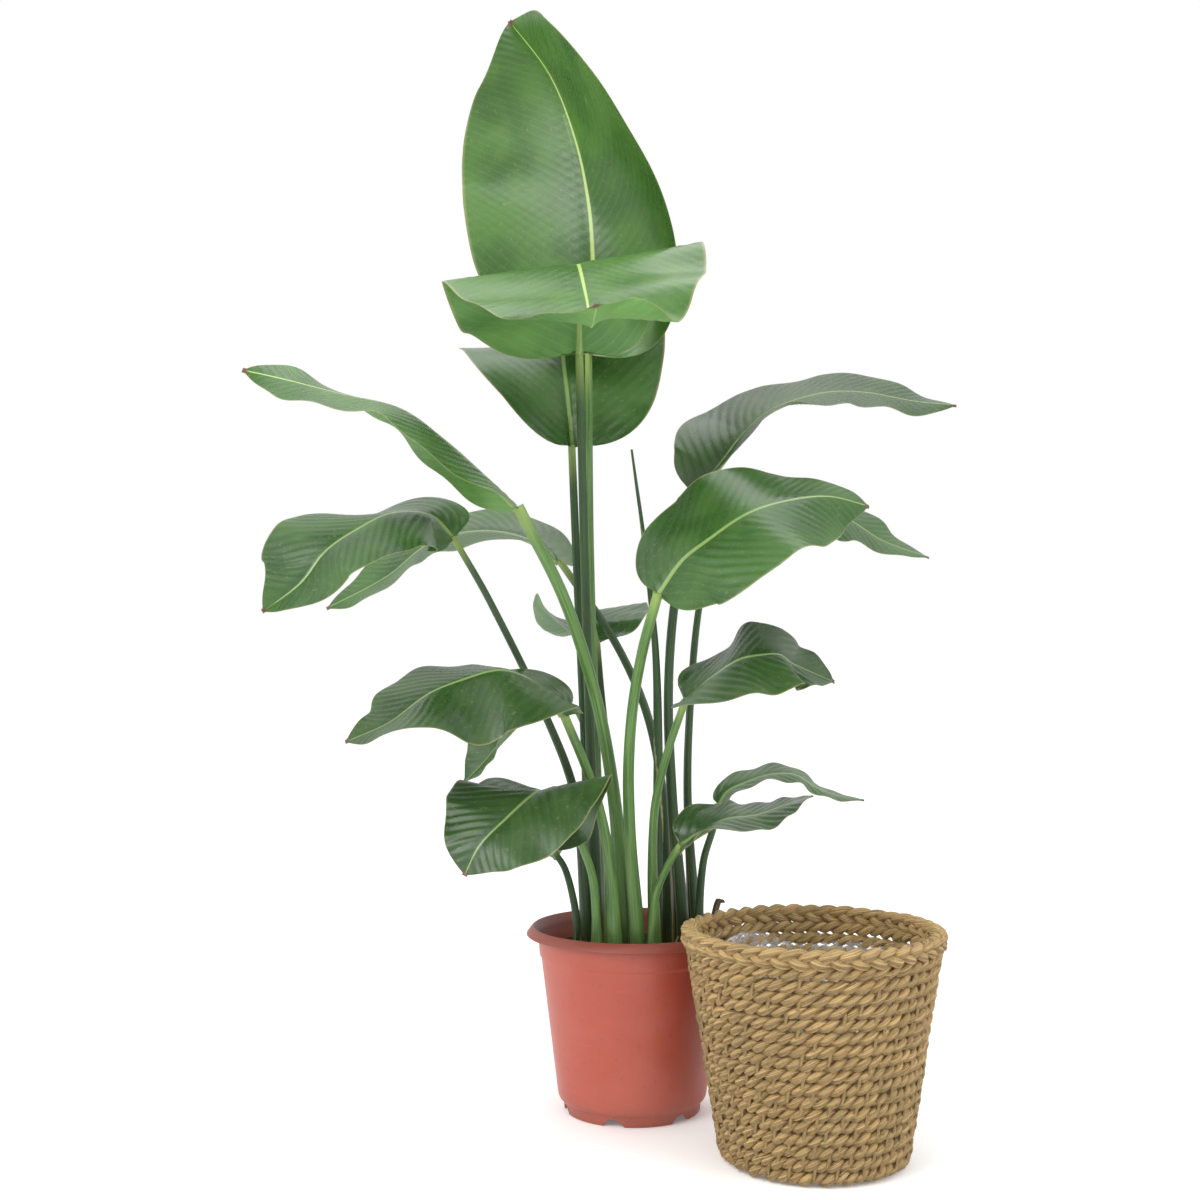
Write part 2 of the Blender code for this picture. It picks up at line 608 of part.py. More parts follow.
def centre_on_floor(things):
    """Move everything so that the origin is under the middle of the whole."""
    bpy.context.view_layer.update()
    graph = bpy.context.evaluated_depsgraph_get()
    low = Vector((math.inf, math.inf, math.inf))
    high = -low
    for thing in things:
        if thing.hide_render:
            continue
        shape = thing.evaluated_get(graph)
        for vertex in shape.to_mesh().vertices:
            place = shape.matrix_world @ vertex.co
            low = Vector(map(min, low, place))
            high = Vector(map(max, high, place))
        shape.to_mesh_clear()
    shift = Vector((-(low.x + high.x) / 2, -(low.y + high.y) / 2, -low.z))
    for thing in things:
        thing.location += shift


def main():
    """Build every piece."""
    for thing in list(bpy.data.objects):
        bpy.data.objects.remove(thing)
    materials = {name: make_material(name) for name in COLOURS}
    things = build_pot(materials["terracotta_plastic"])
    things.append(build_soil(materials["dark_soil"]))
    things.append(build_basket(materials["seagrass"]))
    things.append(build_liner(materials["clear_film"]))
    for leaf in LEAVES:
        things += build_leaf(leaf, materials["leaf_green"], materials["stalk_green"])
    things.append(build_spear(materials["leaf_green"]))
    things.append(build_sheath(materials["dry_leaf"]))
    things.append(build_strand(materials["dry_leaf"]))
    centre_on_floor(things)


main()
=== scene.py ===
"""Finished surfaces for a potted bird of paradise and its woven basket.

Leaves, stalks, pot, soil, basket and film liner are built as fine meshes around the plain frame
of the part, each with its own procedural finish.  Leaf places are in metres from the pot's axis
at floor level; everything else is placed from the frame's own boxes.
"""

import logging
import math
from dataclasses import dataclass, field
from enum import Enum
from typing import Sequence

import bmesh
import bpy
import numpy as np
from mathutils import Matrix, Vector

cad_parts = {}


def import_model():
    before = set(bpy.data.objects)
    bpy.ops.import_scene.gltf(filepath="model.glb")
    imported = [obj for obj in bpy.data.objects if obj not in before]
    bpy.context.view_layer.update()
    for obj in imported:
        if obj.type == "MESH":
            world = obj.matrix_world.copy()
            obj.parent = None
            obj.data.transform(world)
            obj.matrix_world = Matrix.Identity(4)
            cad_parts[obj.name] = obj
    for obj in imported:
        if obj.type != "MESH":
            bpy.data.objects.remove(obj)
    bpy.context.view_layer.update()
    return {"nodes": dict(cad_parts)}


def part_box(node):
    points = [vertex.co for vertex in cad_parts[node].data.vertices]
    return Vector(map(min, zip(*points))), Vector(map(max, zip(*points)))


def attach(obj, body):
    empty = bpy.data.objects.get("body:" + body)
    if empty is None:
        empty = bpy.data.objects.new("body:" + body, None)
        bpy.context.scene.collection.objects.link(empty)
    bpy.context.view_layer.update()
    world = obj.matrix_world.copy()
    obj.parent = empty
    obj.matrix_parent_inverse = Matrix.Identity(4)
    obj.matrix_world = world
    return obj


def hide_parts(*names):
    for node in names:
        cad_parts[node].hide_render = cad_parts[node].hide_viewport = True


LOG = logging.getLogger("bird_of_paradise")
ROOT = "root"
FULL_TURN = 2 * math.pi
STEEP = 0.94
UPWARD = (0.0, 0.0, 1.0)
BACKWARD = (0.0, 1.0, 0.0)
SLANTED = (0.17, 0.98, 0.1)
MERGE_DISTANCE = 1e-7

Array = np.ndarray
Colour = tuple[float, float, float]
Material = bpy.types.Material
Socket = bpy.types.NodeSocket


class Tone(Enum):
    """How young a leaf is and how it is lit: the lightest tone also paints light shining through
    the top leaves.
    """

    FRESH_AND_LIT = "fresh_and_lit"
    GREEN = "green"
    DEEP = "deep"


# ------------------------------------------------------------------ smooth routes
def hermite(points: Sequence, knots: Array, wanted: Array) -> Array:
    """Read a smooth curve through points.

    Args:
        points: values or places at the knots.
        knots: rising positions of the points.
        wanted: positions to read.

    Returns:
        One row for each wanted position.
    """
    points = np.asarray(points, dtype=float)
    if points.ndim == 1:
        points = points[:, None]
    last = len(points) - 1
    slopes = np.array([
        (points[min(i + 1, last)] - points[max(i - 1, 0)])
        / (knots[min(i + 1, last)] - knots[max(i - 1, 0)])
        for i in range(last + 1)
    ])
    wanted = np.clip(wanted, knots[0], knots[-1])
    i = np.clip(np.searchsorted(knots, wanted, side="right") - 1, 0, last - 1)
    span = (knots[i + 1] - knots[i])[:, None]
    u = (wanted - knots[i])[:, None] / span
    return (
        (2 * u**3 - 3 * u**2 + 1) * points[i]
        + (u**3 - 2 * u**2 + u) * span * slopes[i]
        + (3 * u**2 - 2 * u**3) * points[i + 1]
        + (u**3 - u**2) * span * slopes[i + 1]
    )


def spread(values: Sequence, fractions: Array) -> Array:
    """Values spaced evenly over 0..1, read smoothly at the fractions."""
    return hermite(values, np.linspace(0, 1, len(values)), fractions)[:, 0]


def smooth_route(points: Sequence, fractions: Array) -> tuple[Array, Array, float]:
    """Read a smooth route by its length.

    Args:
        points: places the route passes through.
        fractions: shares of the length to read.

    Returns:
        Places, unit directions and the whole length.
    """
    points = np.asarray(points, dtype=float)
    knots = np.r_[0, np.cumsum(np.linalg.norm(np.diff(points, axis=0), axis=1))]
    dense = hermite(points, knots, np.linspace(0, knots[-1], 400))
    along = np.r_[0, np.cumsum(np.linalg.norm(np.diff(dense, axis=0), axis=1))]
    length = along[-1]

    def read(distance: Array) -> Array:
        """Places at distances from the start."""
        distance = np.clip(distance, 0, length)
        return np.stack([np.interp(distance, along, dense[:, k]) for k in range(3)], axis=-1)

    distance = np.asarray(fractions) * length
    step = length * 0.004
    direction = read(distance + step) - read(distance - step)
    direction /= np.linalg.norm(direction, axis=1)[:, None]
    return read(distance), direction, length


def outline(fractions: Array, widest: float) -> Array:
    """Half-width of a blade along its length, as a share of its widest.

    Args:
        fractions: shares of the blade's length.
        widest: the share at which it is widest.

    Returns:
        The half-width at each fraction, 0 to 1.
    """
    rise = np.sqrt(np.clip(1 - (1 - np.minimum(fractions, widest) / widest) ** 2.3, 0, 1))
    past = np.clip((fractions - widest) / (1 - widest), 0, 1)
    fall = (1 - past**1.9) ** 0.95
    return np.where(fractions < widest, rise, fall)


def smoothstep(low: float, high: float, value: Array) -> Array:
    """A smooth 0 to 1 step between low and high."""
    u = np.clip((value - low) / (high - low), 0, 1)
    return u * u * (3 - 2 * u)


# ------------------------------------------------------------------ shader graphs
@dataclass
class Graph:
    """Short words for making shader nodes in one tree."""

    tree: bpy.types.NodeTree

    def add(self, kind: str, **settings: object) -> bpy.types.Node:
        """Make a node.

        Args:
            kind: the node's type, without its prefix.
            settings: its properties.

        Returns:
            The new node.
        """
        node = self.tree.nodes.new("ShaderNode" + kind)
        for name, value in settings.items():
            setattr(node, name, value)
        return node

    def feed(self, socket: Socket, value: object) -> None:
        """Link a socket to its source, or set its plain value.

        Args:
            socket: the input to feed.
            value: another socket, a number or a colour.
        """
        if isinstance(value, Socket):
            self.tree.links.new(value, socket)
        elif isinstance(value, tuple) and len(value) == 3 and socket.type == "RGBA":
            socket.default_value = (*value, 1.0)
        else:
            socket.default_value = value

    def math(self, operation: str, a: object, b: object = 0.0, clamp: bool = False) -> Socket:
        """One sum on two values.

        Args:
            operation: the name of the sum.
            a: first value.
            b: second value.
            clamp: whether the result is kept between 0 and 1.

        Returns:
            The result.
        """
        node = self.add("Math", operation=operation, use_clamp=clamp)
        self.feed(node.inputs[0], a)
        self.feed(node.inputs[1], b)
        return node.outputs[0]

    def times(self, a: object, b: object) -> Socket:
        """The product of two values."""
        return self.math("MULTIPLY", a, b)

    def plus(self, a: object, b: object) -> Socket:
        """The sum of two values."""
        return self.math("ADD", a, b)

    def wave(self, operation: str, value: object) -> Socket:
        """A sine or cosine brought to 0..1."""
        return self.plus(self.times(self.math(operation, value), 0.5), 0.5)

    def step(self, value: object, low: float, high: float) -> Socket:
        """A smooth 0 to 1 step.

        Args:
            value: the value that is read.
            low: where the step is 0.
            high: where the step is 1.

        Returns:
            The step's value.
        """
        node = self.add("MapRange", interpolation_type="SMOOTHSTEP")
        self.feed(node.inputs["Value"], value)
        node.inputs["From Min"].default_value = low
        node.inputs["From Max"].default_value = high
        return node.outputs["Result"]

    def mix(self, factor: object, a: object, b: object) -> Socket:
        """Blend two colours.

        Args:
            factor: how much of the second colour there is.
            a: first colour.
            b: second colour.

        Returns:
            The blended colour.
        """
        node = self.add("Mix", data_type="RGBA", blend_type="MIX")
        self.feed(node.inputs[0], factor)
        self.feed(node.inputs[6], a)
        self.feed(node.inputs[7], b)
        return node.outputs[2]

    def tint(self, colour: object, mask: object, weight: float, other: object) -> Socket:
        """Blend another colour in where a mask is, by a weight."""
        return self.mix(self.times(mask, weight), colour, other)

    def noise(self, vector: object, scale: object, detail: float = 3.0) -> Socket:
        """Soft noise around a half.

        Args:
            vector: where it is read.
            scale: how fine it is.
            detail: how many finer layers it has.

        Returns:
            The noise value.
        """
        node = self.add("TexNoise")
        self.feed(node.inputs["Vector"], vector)
        self.feed(node.inputs["Scale"], scale)
        node.inputs["Detail"].default_value = detail
        return node.outputs["Fac"]

    def place(self) -> Socket:
        """The place on the object, in metres."""
        return self.add("TexCoord").outputs["Object"]

    def split(self, vector: object) -> bpy.types.NodeOutputs:
        """The three parts of a vector.

        Args:
            vector: the vector to split.

        Returns:
            Its parts, named X, Y and Z.
        """
        node = self.add("SeparateXYZ")
        self.feed(node.inputs[0], vector)
        return node.outputs

    def map(self, name: str) -> bpy.types.NodeOutputs:
        """The parts of one of the mesh's maps."""
        return self.split(self.add("UVMap", uv_map=name).outputs["UV"])

    def group(self, tree: bpy.types.NodeTree, **values: object) -> bpy.types.NodeOutputs:
        """Place a node group.

        Args:
            tree: the group.
            values: its inputs, by their names in lower case with underscores.

        Returns:
            The group's outputs.
        """
        node = self.add("Group", node_tree=tree)
        for name, value in values.items():
            self.feed(node.inputs[name.replace("_", " ").capitalize()], value)
        return node.outputs


def new_group(name: str, inputs: dict[str, float], outputs: Sequence[str]) -> tuple:
    """Start a shader node group.

    Args:
        name: the group's name.
        inputs: the name and default of each input value.
        outputs: the names of the output values.

    Returns:
        The tree, its graph, the outputs of its input node and the inputs of its output node.
    """
    tree = bpy.data.node_groups.new(name, "ShaderNodeTree")
    for label, default in inputs.items():
        socket = tree.interface.new_socket(label, in_out="INPUT", socket_type="NodeSocketFloat")
        socket.default_value = default
    for label in outputs:
        tree.interface.new_socket(label, in_out="OUTPUT", socket_type="NodeSocketFloat")
    start, end = tree.nodes.new("NodeGroupInput"), tree.nodes.new("NodeGroupOutput")
    return tree, Graph(tree), start.outputs, end.inputs


class Effects:
    """Shared effects, each a node group built once."""

    def __init__(self) -> None:
        """Build every group."""
        self.mottle = self.build_mottle()
        self.veins = self.build_veins()
        self.fibres = self.build_fibres()

    def build_mottle(self) -> bpy.types.NodeTree:
        """Uneven patches and small specks over a surface.

        Returns:
            The group.
        """
        sizes = {"Scale": 12.0, "Speck scale": 220.0}
        tree, g, start, end = new_group("uneven_patches", sizes, ("Patches", "Specks"))
        place = g.place()
        patches = g.noise(place, start["Scale"], 4.0)
        specks = g.noise(place, start["Speck scale"], 2.0)
        g.feed(end["Patches"], g.step(patches, 0.35, 0.65))
        g.feed(end["Specks"], g.step(specks, 0.62, 0.74))
        return tree

    def build_veins(self) -> bpy.types.NodeTree:
        """Side veins of a blade, from its two maps.

        The vein map holds the distance from the midrib in metres and the count of folds; the
        share map holds the share across each half and along the blade.

        Returns:
            The group.
        """
        outputs = ("Fold", "Fine", "Midrib", "Margin", "Tip", "Height")
        tree, g, start, end = new_group("blade_veins", {"Midrib width": 0.004}, outputs)
        fine_per_fold, narrow_at_tip = 9.0, 0.8
        vein, share = g.map("veins"), g.map("shares")
        turns = g.times(vein["Y"], FULL_TURN)
        fold = g.wave("COSINE", turns)
        fine = g.math("POWER", g.wave("SINE", g.times(turns, fine_per_fold)), 3.0)
        narrowing = g.math("SUBTRACT", 1.0, g.times(share["Y"], narrow_at_tip))
        width = g.times(start["Midrib width"], narrowing)
        away = g.math("DIVIDE", g.math("ABSOLUTE", vein["X"]), width)
        midrib = g.math("SUBTRACT", 1.0, away, clamp=True)
        ragged = g.times(g.noise(g.place(), 60.0), 0.02)
        g.feed(end["Fold"], g.math("POWER", fold, 10.0))
        g.feed(end["Fine"], fine)
        g.feed(end["Midrib"], g.step(midrib, 0.05, 0.55))
        g.feed(end["Margin"], g.step(share["X"], 0.972, 0.995))
        g.feed(end["Tip"], g.step(g.plus(share["Y"], ragged), 0.985, 1.003))
        g.feed(end["Height"], g.plus(g.times(fine, 0.35), fold))
        return tree

    def build_fibres(self) -> bpy.types.NodeTree:
        """Long thin fibres that run along the first axis of the lay map.

        Returns:
            The group.
        """
        sizes = {"Along": 30.0, "Across": 18.0}
        tree, g, start, end = new_group("dry_fibres", sizes, ("Fibre", "Streak"))
        lay = g.map("lay")
        for output, ratio, detail in (("Fibre", 1.0, 4.0), ("Streak", 0.25, 2.0)):
            vector = g.add("CombineXYZ")
            for axis, part, size in ((0, "X", "Along"), (1, "Y", "Across")):
                g.feed(vector.inputs[axis], g.times(lay[part], g.times(start[size], ratio)))
            g.feed(end[output], g.step(g.noise(vector.outputs[0], 1.0, detail), 0.3, 0.7))
        return tree


def start_material(name: str, roughness: float) -> tuple[Material, Graph, bpy.types.Node]:
    """Start a material.

    Args:
        name: its name.
        roughness: how rough it is.

    Returns:
        The material, its graph and its Principled shader.
    """
    material = bpy.data.materials.new(name)
    material.use_nodes = True
    shader = material.node_tree.nodes["Principled BSDF"]
    shader.inputs["Roughness"].default_value = roughness
    return material, Graph(material.node_tree), shader


def set_values(shader: bpy.types.Node, **values: object) -> None:
    """Set plain values on a shader's own sockets."""
    for name, value in values.items():
        shader.inputs[name.replace("_", " ")].default_value = value


def bump(g: Graph, shader: bpy.types.Node, height: Socket, distance: float,
         strength: float = 1.0) -> None:
    """Give a shader a bump of a real height.

    Args:
        g: the material's graph.
        shader: its shader.
        height: the height value, 0 to 1.
        distance: the height of 1 in metres.
        strength: how much of it shows.
    """
    node = g.add("Bump")
    node.inputs["Strength"].default_value = strength
    node.inputs["Distance"].default_value = distance
    g.feed(node.inputs["Height"], height)
    g.feed(shader.inputs["Normal"], node.outputs["Normal"])


@dataclass(frozen=True)
class BladeFinish:
    """Waxy leaf surface with side veins, a pale midrib and a thin dry margin."""

    name: str
    dark: Colour
    light: Colour
    vein: Colour
    midrib: Colour
    roughness: float
    coat: float = 0.10
    midrib_width: float = 0.0042
    dry_edge: Colour = (0.36, 0.33, 0.14)
    speck: Colour = (0.30, 0.27, 0.13)
    brown_tip: Colour = (0.11, 0.055, 0.025)
    fold_weight: float = 0.16
    fine_weight: float = 0.09
    edge_weight: float = 0.45
    speck_weight: float = 0.25
    vein_height: float = 0.0004

    def build(self, effects: Effects) -> Material:
        """Make the material.

        Args:
            effects: the shared node groups.

        Returns:
            The finished material.
        """
        material, g, shader = start_material(self.name, self.roughness)
        veins = g.group(effects.veins, midrib_width=self.midrib_width)
        mottle = g.group(effects.mottle, scale=14.0, speck_scale=260.0)
        colour = g.mix(mottle["Patches"], self.dark, self.light)
        colour = g.tint(colour, veins["Fold"], self.fold_weight, self.vein)
        colour = g.tint(colour, veins["Fine"], self.fine_weight, self.vein)
        colour = g.mix(veins["Midrib"], colour, self.midrib)
        colour = g.tint(colour, veins["Margin"], self.edge_weight, self.dry_edge)
        colour = g.tint(colour, mottle["Specks"], self.speck_weight, self.speck)
        colour = g.mix(veins["Tip"], colour, self.brown_tip)
        g.feed(shader.inputs["Base Color"], colour)
        rough = g.plus(self.roughness, g.times(mottle["Patches"], 0.09))
        g.feed(shader.inputs["Roughness"], rough)
        set_values(shader, Specular_IOR_Level=0.5, Coat_Weight=self.coat, Coat_Roughness=0.22,
                   Subsurface_Weight=0.06, Subsurface_Radius=(0.002, 0.004, 0.001))
        bump(g, shader, veins["Height"], self.vein_height, 0.4)
        return material


@dataclass(frozen=True)
class StalkFinish:
    """Smooth stalk, streaked along its length, with pale sheath margins and a rusty foot."""

    name: str
    dark: Colour
    light: Colour
    near_blade: Colour = (0.36, 0.48, 0.12)
    sheath_margin: Colour = (0.46, 0.44, 0.17)
    rusty: Colour = (0.16, 0.09, 0.04)

    def build(self, effects: Effects) -> Material:
        """Make the material.

        Args:
            effects: the shared node groups.

        Returns:
            The finished material.
        """
        material, g, shader = start_material(self.name, 0.42)
        fibres = g.group(effects.fibres, along=6.0, across=40.0)
        mottle = g.group(effects.mottle, scale=18.0, speck_scale=180.0)
        share = g.map("shares")
        colour = g.mix(fibres["Streak"], self.dark, self.light)
        colour = g.tint(colour, mottle["Patches"], 0.4, self.light)
        colour = g.tint(colour, g.step(share["Y"], 0.9, 1.0), 0.55, self.near_blade)
        colour = g.mix(share["X"], colour, self.sheath_margin)
        foot = g.times(g.step(share["Y"], 0.10, 0.0), 0.45)
        colour = g.mix(g.times(foot, fibres["Fibre"]), colour, self.rusty)
        g.feed(shader.inputs["Base Color"], colour)
        set_values(shader, Specular_IOR_Level=0.5)
        bump(g, shader, fibres["Fibre"], 0.0002, 0.5)
        return material


@dataclass(frozen=True)
class RopeFinish:
    """Dry twisted grass: fibres, straw streaks and a few greenish or brown lengths."""

    name: str
    dark: Colour = (0.13, 0.068, 0.020)
    light: Colour = (0.66, 0.45, 0.19)
    odd: Colour = (0.30, 0.21, 0.09)

    def build(self, effects: Effects) -> Material:
        """Make the material.

        Args:
            effects: the shared node groups.

        Returns:
            The finished material.
        """
        material, g, shader = start_material(self.name, 0.72)
        fibres = g.group(effects.fibres, along=40.0, across=26.0)
        mottle = g.group(effects.mottle, scale=26.0, speck_scale=300.0)
        colour = g.mix(fibres["Fibre"], self.dark, self.light)
        colour = g.tint(colour, fibres["Streak"], 0.45, self.light)
        colour = g.tint(colour, mottle["Patches"], 0.40, self.odd)
        colour = g.tint(colour, mottle["Specks"], 0.5, self.dark)
        g.feed(shader.inputs["Base Color"], colour)
        bump(g, shader, fibres["Fibre"], 0.0007)
        return material


@dataclass(frozen=True)
class PotFinish:
    """Moulded terracotta-red plastic with a faint grain, scuffs, dust near the foot and painted
    shade on the lip.
    """

    name: str = "terracotta_plastic_fine"
    base: Colour = (0.40, 0.070, 0.042)
    faded: Colour = (0.45, 0.115, 0.078)
    # Darker red painted as shade on the lip and the upper inside wall.
    lip: Colour = (0.20, 0.055, 0.035)
    dirt: Colour = (0.13, 0.075, 0.05)
    lip_shade_heights: tuple[float, float] = (0.188, 0.197)
    dirt_height: float = 0.035

    def build(self, effects: Effects) -> Material:
        """Make the material; heights are read from the place on the object.

        Args:
            effects: the shared node groups.

        Returns:
            The finished material.
        """
        material, g, shader = start_material(self.name, 0.42)
        mottle = g.group(effects.mottle, scale=9.0, speck_scale=150.0)
        place = g.place()
        drawn_out = g.add("Mapping")
        g.feed(drawn_out.inputs["Vector"], place)
        drawn_out.inputs["Scale"].default_value = (3.0, 3.0, 30.0)
        scuffs = g.step(g.noise(drawn_out.outputs["Vector"], 6.0, 6.0), 0.60, 0.72)
        height = g.split(place)["Z"]
        colour = g.tint(self.base, mottle["Patches"], 0.6, self.faded)
        colour = g.tint(colour, scuffs, 0.25, self.faded)
        # Painted shade: darker band over the lip and the top of the inside wall.
        colour = g.tint(colour, g.step(height, *self.lip_shade_heights), 0.6, self.lip)
        low = g.times(g.step(height, self.dirt_height, 0.0), 0.55)
        colour = g.mix(g.times(low, g.noise(place, 45.0, 5.0)), colour, self.dirt)
        colour = g.tint(colour, mottle["Specks"], 0.3, self.dirt)
        g.feed(shader.inputs["Base Color"], colour)
        g.feed(shader.inputs["Roughness"], g.plus(0.36, g.times(mottle["Patches"], 0.16)))
        bump(g, shader, g.noise(place, 900.0, 2.0), 0.00012, 0.5)
        return material


@dataclass(frozen=True)
class SoilFinish:
    """Moist dark crumbs with a few pale grains; the near-black crumbs also paint the shade inside
    the pot.
    """

    name: str = "moist_soil_and_shade"
    # Near black: partly the moist soil's own colour, partly painted shade inside the pot.
    dark: Colour = (0.006, 0.005, 0.004)
    light: Colour = (0.035, 0.022, 0.013)
    grain: Colour = (0.11, 0.085, 0.055)

    def build(self, effects: Effects) -> Material:
        """Make the material.

        Args:
            effects: the shared node groups.

        Returns:
            The finished material.
        """
        material, g, shader = start_material(self.name, 0.9)
        mottle = g.group(effects.mottle, scale=120.0, speck_scale=420.0)
        colour = g.mix(mottle["Patches"], self.dark, self.light)
        colour = g.tint(colour, mottle["Specks"], 0.5, self.grain)
        g.feed(shader.inputs["Base Color"], colour)
        bump(g, shader, g.noise(g.place(), 600.0, 6.0), 0.0012)
        return material


@dataclass(frozen=True)
class FilmFinish:
    """Clear film that shows mostly by its gloss and its creases."""

    name: str = "clear_film_fine"
    flat: Colour = (0.80, 0.83, 0.84)
    creased: Colour = (0.97, 0.98, 0.98)

    def build(self, effects: Effects) -> Material:
        """Make the material; creases are slightly milkier than the flat film.

        Args:
            effects: the shared node groups.

        Returns:
            The finished material.
        """
        material, g, shader = start_material(self.name, 0.08)
        crease = g.step(g.noise(g.place(), 42.0, 6.0), 0.48, 0.62)
        g.feed(shader.inputs["Base Color"], g.mix(crease, self.flat, self.creased))
        g.feed(shader.inputs["Alpha"], g.plus(0.16, g.times(crease, 0.22)))
        set_values(shader, Specular_IOR_Level=0.9)
        bump(g, shader, g.noise(g.place(), 70.0, 5.0), 0.0018)
        return material


@dataclass(frozen=True)
class DryFinish:
    """Papery dry leaf remains with long ribs."""

    name: str
    dark: Colour
    light: Colour

    def build(self, effects: Effects) -> Material:
        """Make the material.

        Args:
            effects: the shared node groups.

        Returns:
            The finished material.
        """
        material, g, shader = start_material(self.name, 0.75)
        fibres = g.group(effects.fibres, along=8.0, across=50.0)
        mottle = g.group(effects.mottle, scale=60.0, speck_scale=300.0)
        colour = g.mix(fibres["Fibre"], self.dark, self.light)
        colour = g.tint(colour, mottle["Patches"], 0.4, self.dark)
        g.feed(shader.inputs["Base Color"], colour)
        bump(g, shader, fibres["Fibre"], 0.0004)
        return material


# ------------------------------------------------------------------ meshes
def pair(first: Array, second: Array) -> Array:
    """Two values for each point, spread over the points' grid."""
    return np.stack(np.broadcast_arrays(first, second), axis=-1)


def around(centre: Array, radius: Array, turn: Array, height: Array) -> Array:
    """Places at radii, turns and heights about an upright axis."""
    x, y = centre[0] + radius * np.cos(turn), centre[1] + radius * np.sin(turn)
    return np.stack(np.broadcast_arrays(x, y, height), axis=-1)


@dataclass
class Skin:
    """Points and faces of one mesh while it is gathered, with its maps."""

    points: list = field(default_factory=list)
    faces: list = field(default_factory=list)
    slots: list = field(default_factory=list)
    maps: dict = field(default_factory=dict)

    def grid(self, places: Array, slot: int = 0, closed: bool = False, flip: bool = False,
             **maps: Array) -> Array:
        """Add a grid of points and its faces.

        Args:
            places: rows of points.
            slot: the material slot of its faces.
            closed: whether each row is a ring.
            flip: whether the faces turn the other way.
            maps: one pair of values for each point, for each named map.

        Returns:
            The index of each point.
        """
        rows, columns = places.shape[:2]
        base = len(self.points)
        index = base + np.arange(rows * columns).reshape(rows, columns)
        self.points.extend(map(tuple, places.reshape(-1, 3)))
        for name, values in maps.items():
            stored = self.maps.setdefault(name, {})
            flat = np.asarray(values).reshape(-1, 2)
            stored.update({base + i: two for i, two in enumerate(flat)})
        span = columns if closed else columns - 1
        for i in range(rows - 1):
            for j in range(span):
                k = (j + 1) % columns
                face = (index[i, j], index[i, k], index[i + 1, k], index[i + 1, j])
                self.faces.append(face[::-1] if flip else face)
                self.slots.append(slot)
        return index

    def strip(self, low: Sequence, high: Sequence, slot: int = 0) -> None:
        """Join two rows of points with faces.

        Args:
            low: indices of the first row.
            high: indices of the second row.
            slot: the material slot of the faces.
        """
        for a, b, c, d in zip(low, low[1:], high[1:], high):
            self.faces.append((a, b, c, d))
            self.slots.append(slot)

    def cap(self, ring: Sequence) -> None:
        """Close a ring with one face."""
        self.faces.append(tuple(ring))
        self.slots.append(0)

    def rod(self, rings: Array, **maps: Array) -> None:
        """Add a tube of rings with both its ends closed.

        Args:
            rings: the tube's rings of points.
            maps: one pair of values for each point, for each named map.
        """
        index = self.grid(rings, 0, closed=True, **maps)
        self.cap(index[0][::-1])
        self.cap(index[-1])

    def loop(self, places: Array, radii: Array, sides: int, length: float, shift: float,
             twist: float = 0.0) -> None:
        """Add a tube around a closed route, with its lay map.

        Args:
            places: the route's places.
            radii: the tube's radius at each place.
            sides: points in each ring.
            length: the route's length.
            shift: where its fibres start along the rope.
            twist: where its fibres start around the rope.
        """
        rings = tube_rings(places, radii, sides, closed_route=True)
        rings = np.concatenate([rings, rings[:1]])
        along = np.linspace(0, length, len(places) + 1)[:, None] + shift
        turn = np.linspace(0, 1, sides, endpoint=False)[None] + twist
        self.grid(rings, 0, closed=True, lay=pair(along, turn))

    def finish(self, name: str, materials: Sequence, smooth_angle: float = 60.0,
               thickness: float = 0.0) -> bpy.types.Object:
        """Make the object.

        Args:
            name: the piece's name.
            materials: its finishes, in slot order.
            smooth_angle: edges sharper than this stay crisp, in degrees.
            thickness: how thick a single skin is made, or 0 for a closed body.

        Returns:
            The new object.
        """
        mesh = bpy.data.meshes.new(name)
        mesh.from_pydata(self.points, [], [tuple(int(i) for i in face) for face in self.faces])
        for material in materials:
            mesh.materials.append(material)
        mesh.polygons.foreach_set("material_index", self.slots)
        corners = np.empty(len(mesh.loops), dtype=int)
        mesh.loops.foreach_get("vertex_index", corners)
        for label, stored in self.maps.items():
            values = np.zeros((len(self.points), 2))
            values[list(stored)] = list(stored.values())
            layer = mesh.uv_layers.new(name=label)
            layer.uv.foreach_set("vector", values[corners].astype(np.float32).ravel())
        bm = bmesh.new()
        bm.from_mesh(mesh)
        bmesh.ops.remove_doubles(bm, verts=bm.verts, dist=MERGE_DISTANCE)
        bmesh.ops.recalc_face_normals(bm, faces=bm.faces)
        bm.to_mesh(mesh)
        bm.free()
        mesh.shade_smooth()
        mesh.set_sharp_from_angle(angle=math.radians(smooth_angle))
        thing = link(name, mesh)
        if thickness:
            thing.modifiers.new("thickness", "SOLIDIFY").thickness = thickness
        return thing


def link(name: str, data: object) -> bpy.types.Object:
    """Make an object and link it into the scene.

    Args:
        name: its name.
        data: its mesh, light or camera.

    Returns:
        The new object.
    """
    thing = bpy.data.objects.new(name, data)
    bpy.context.collection.objects.link(thing)
    return thing


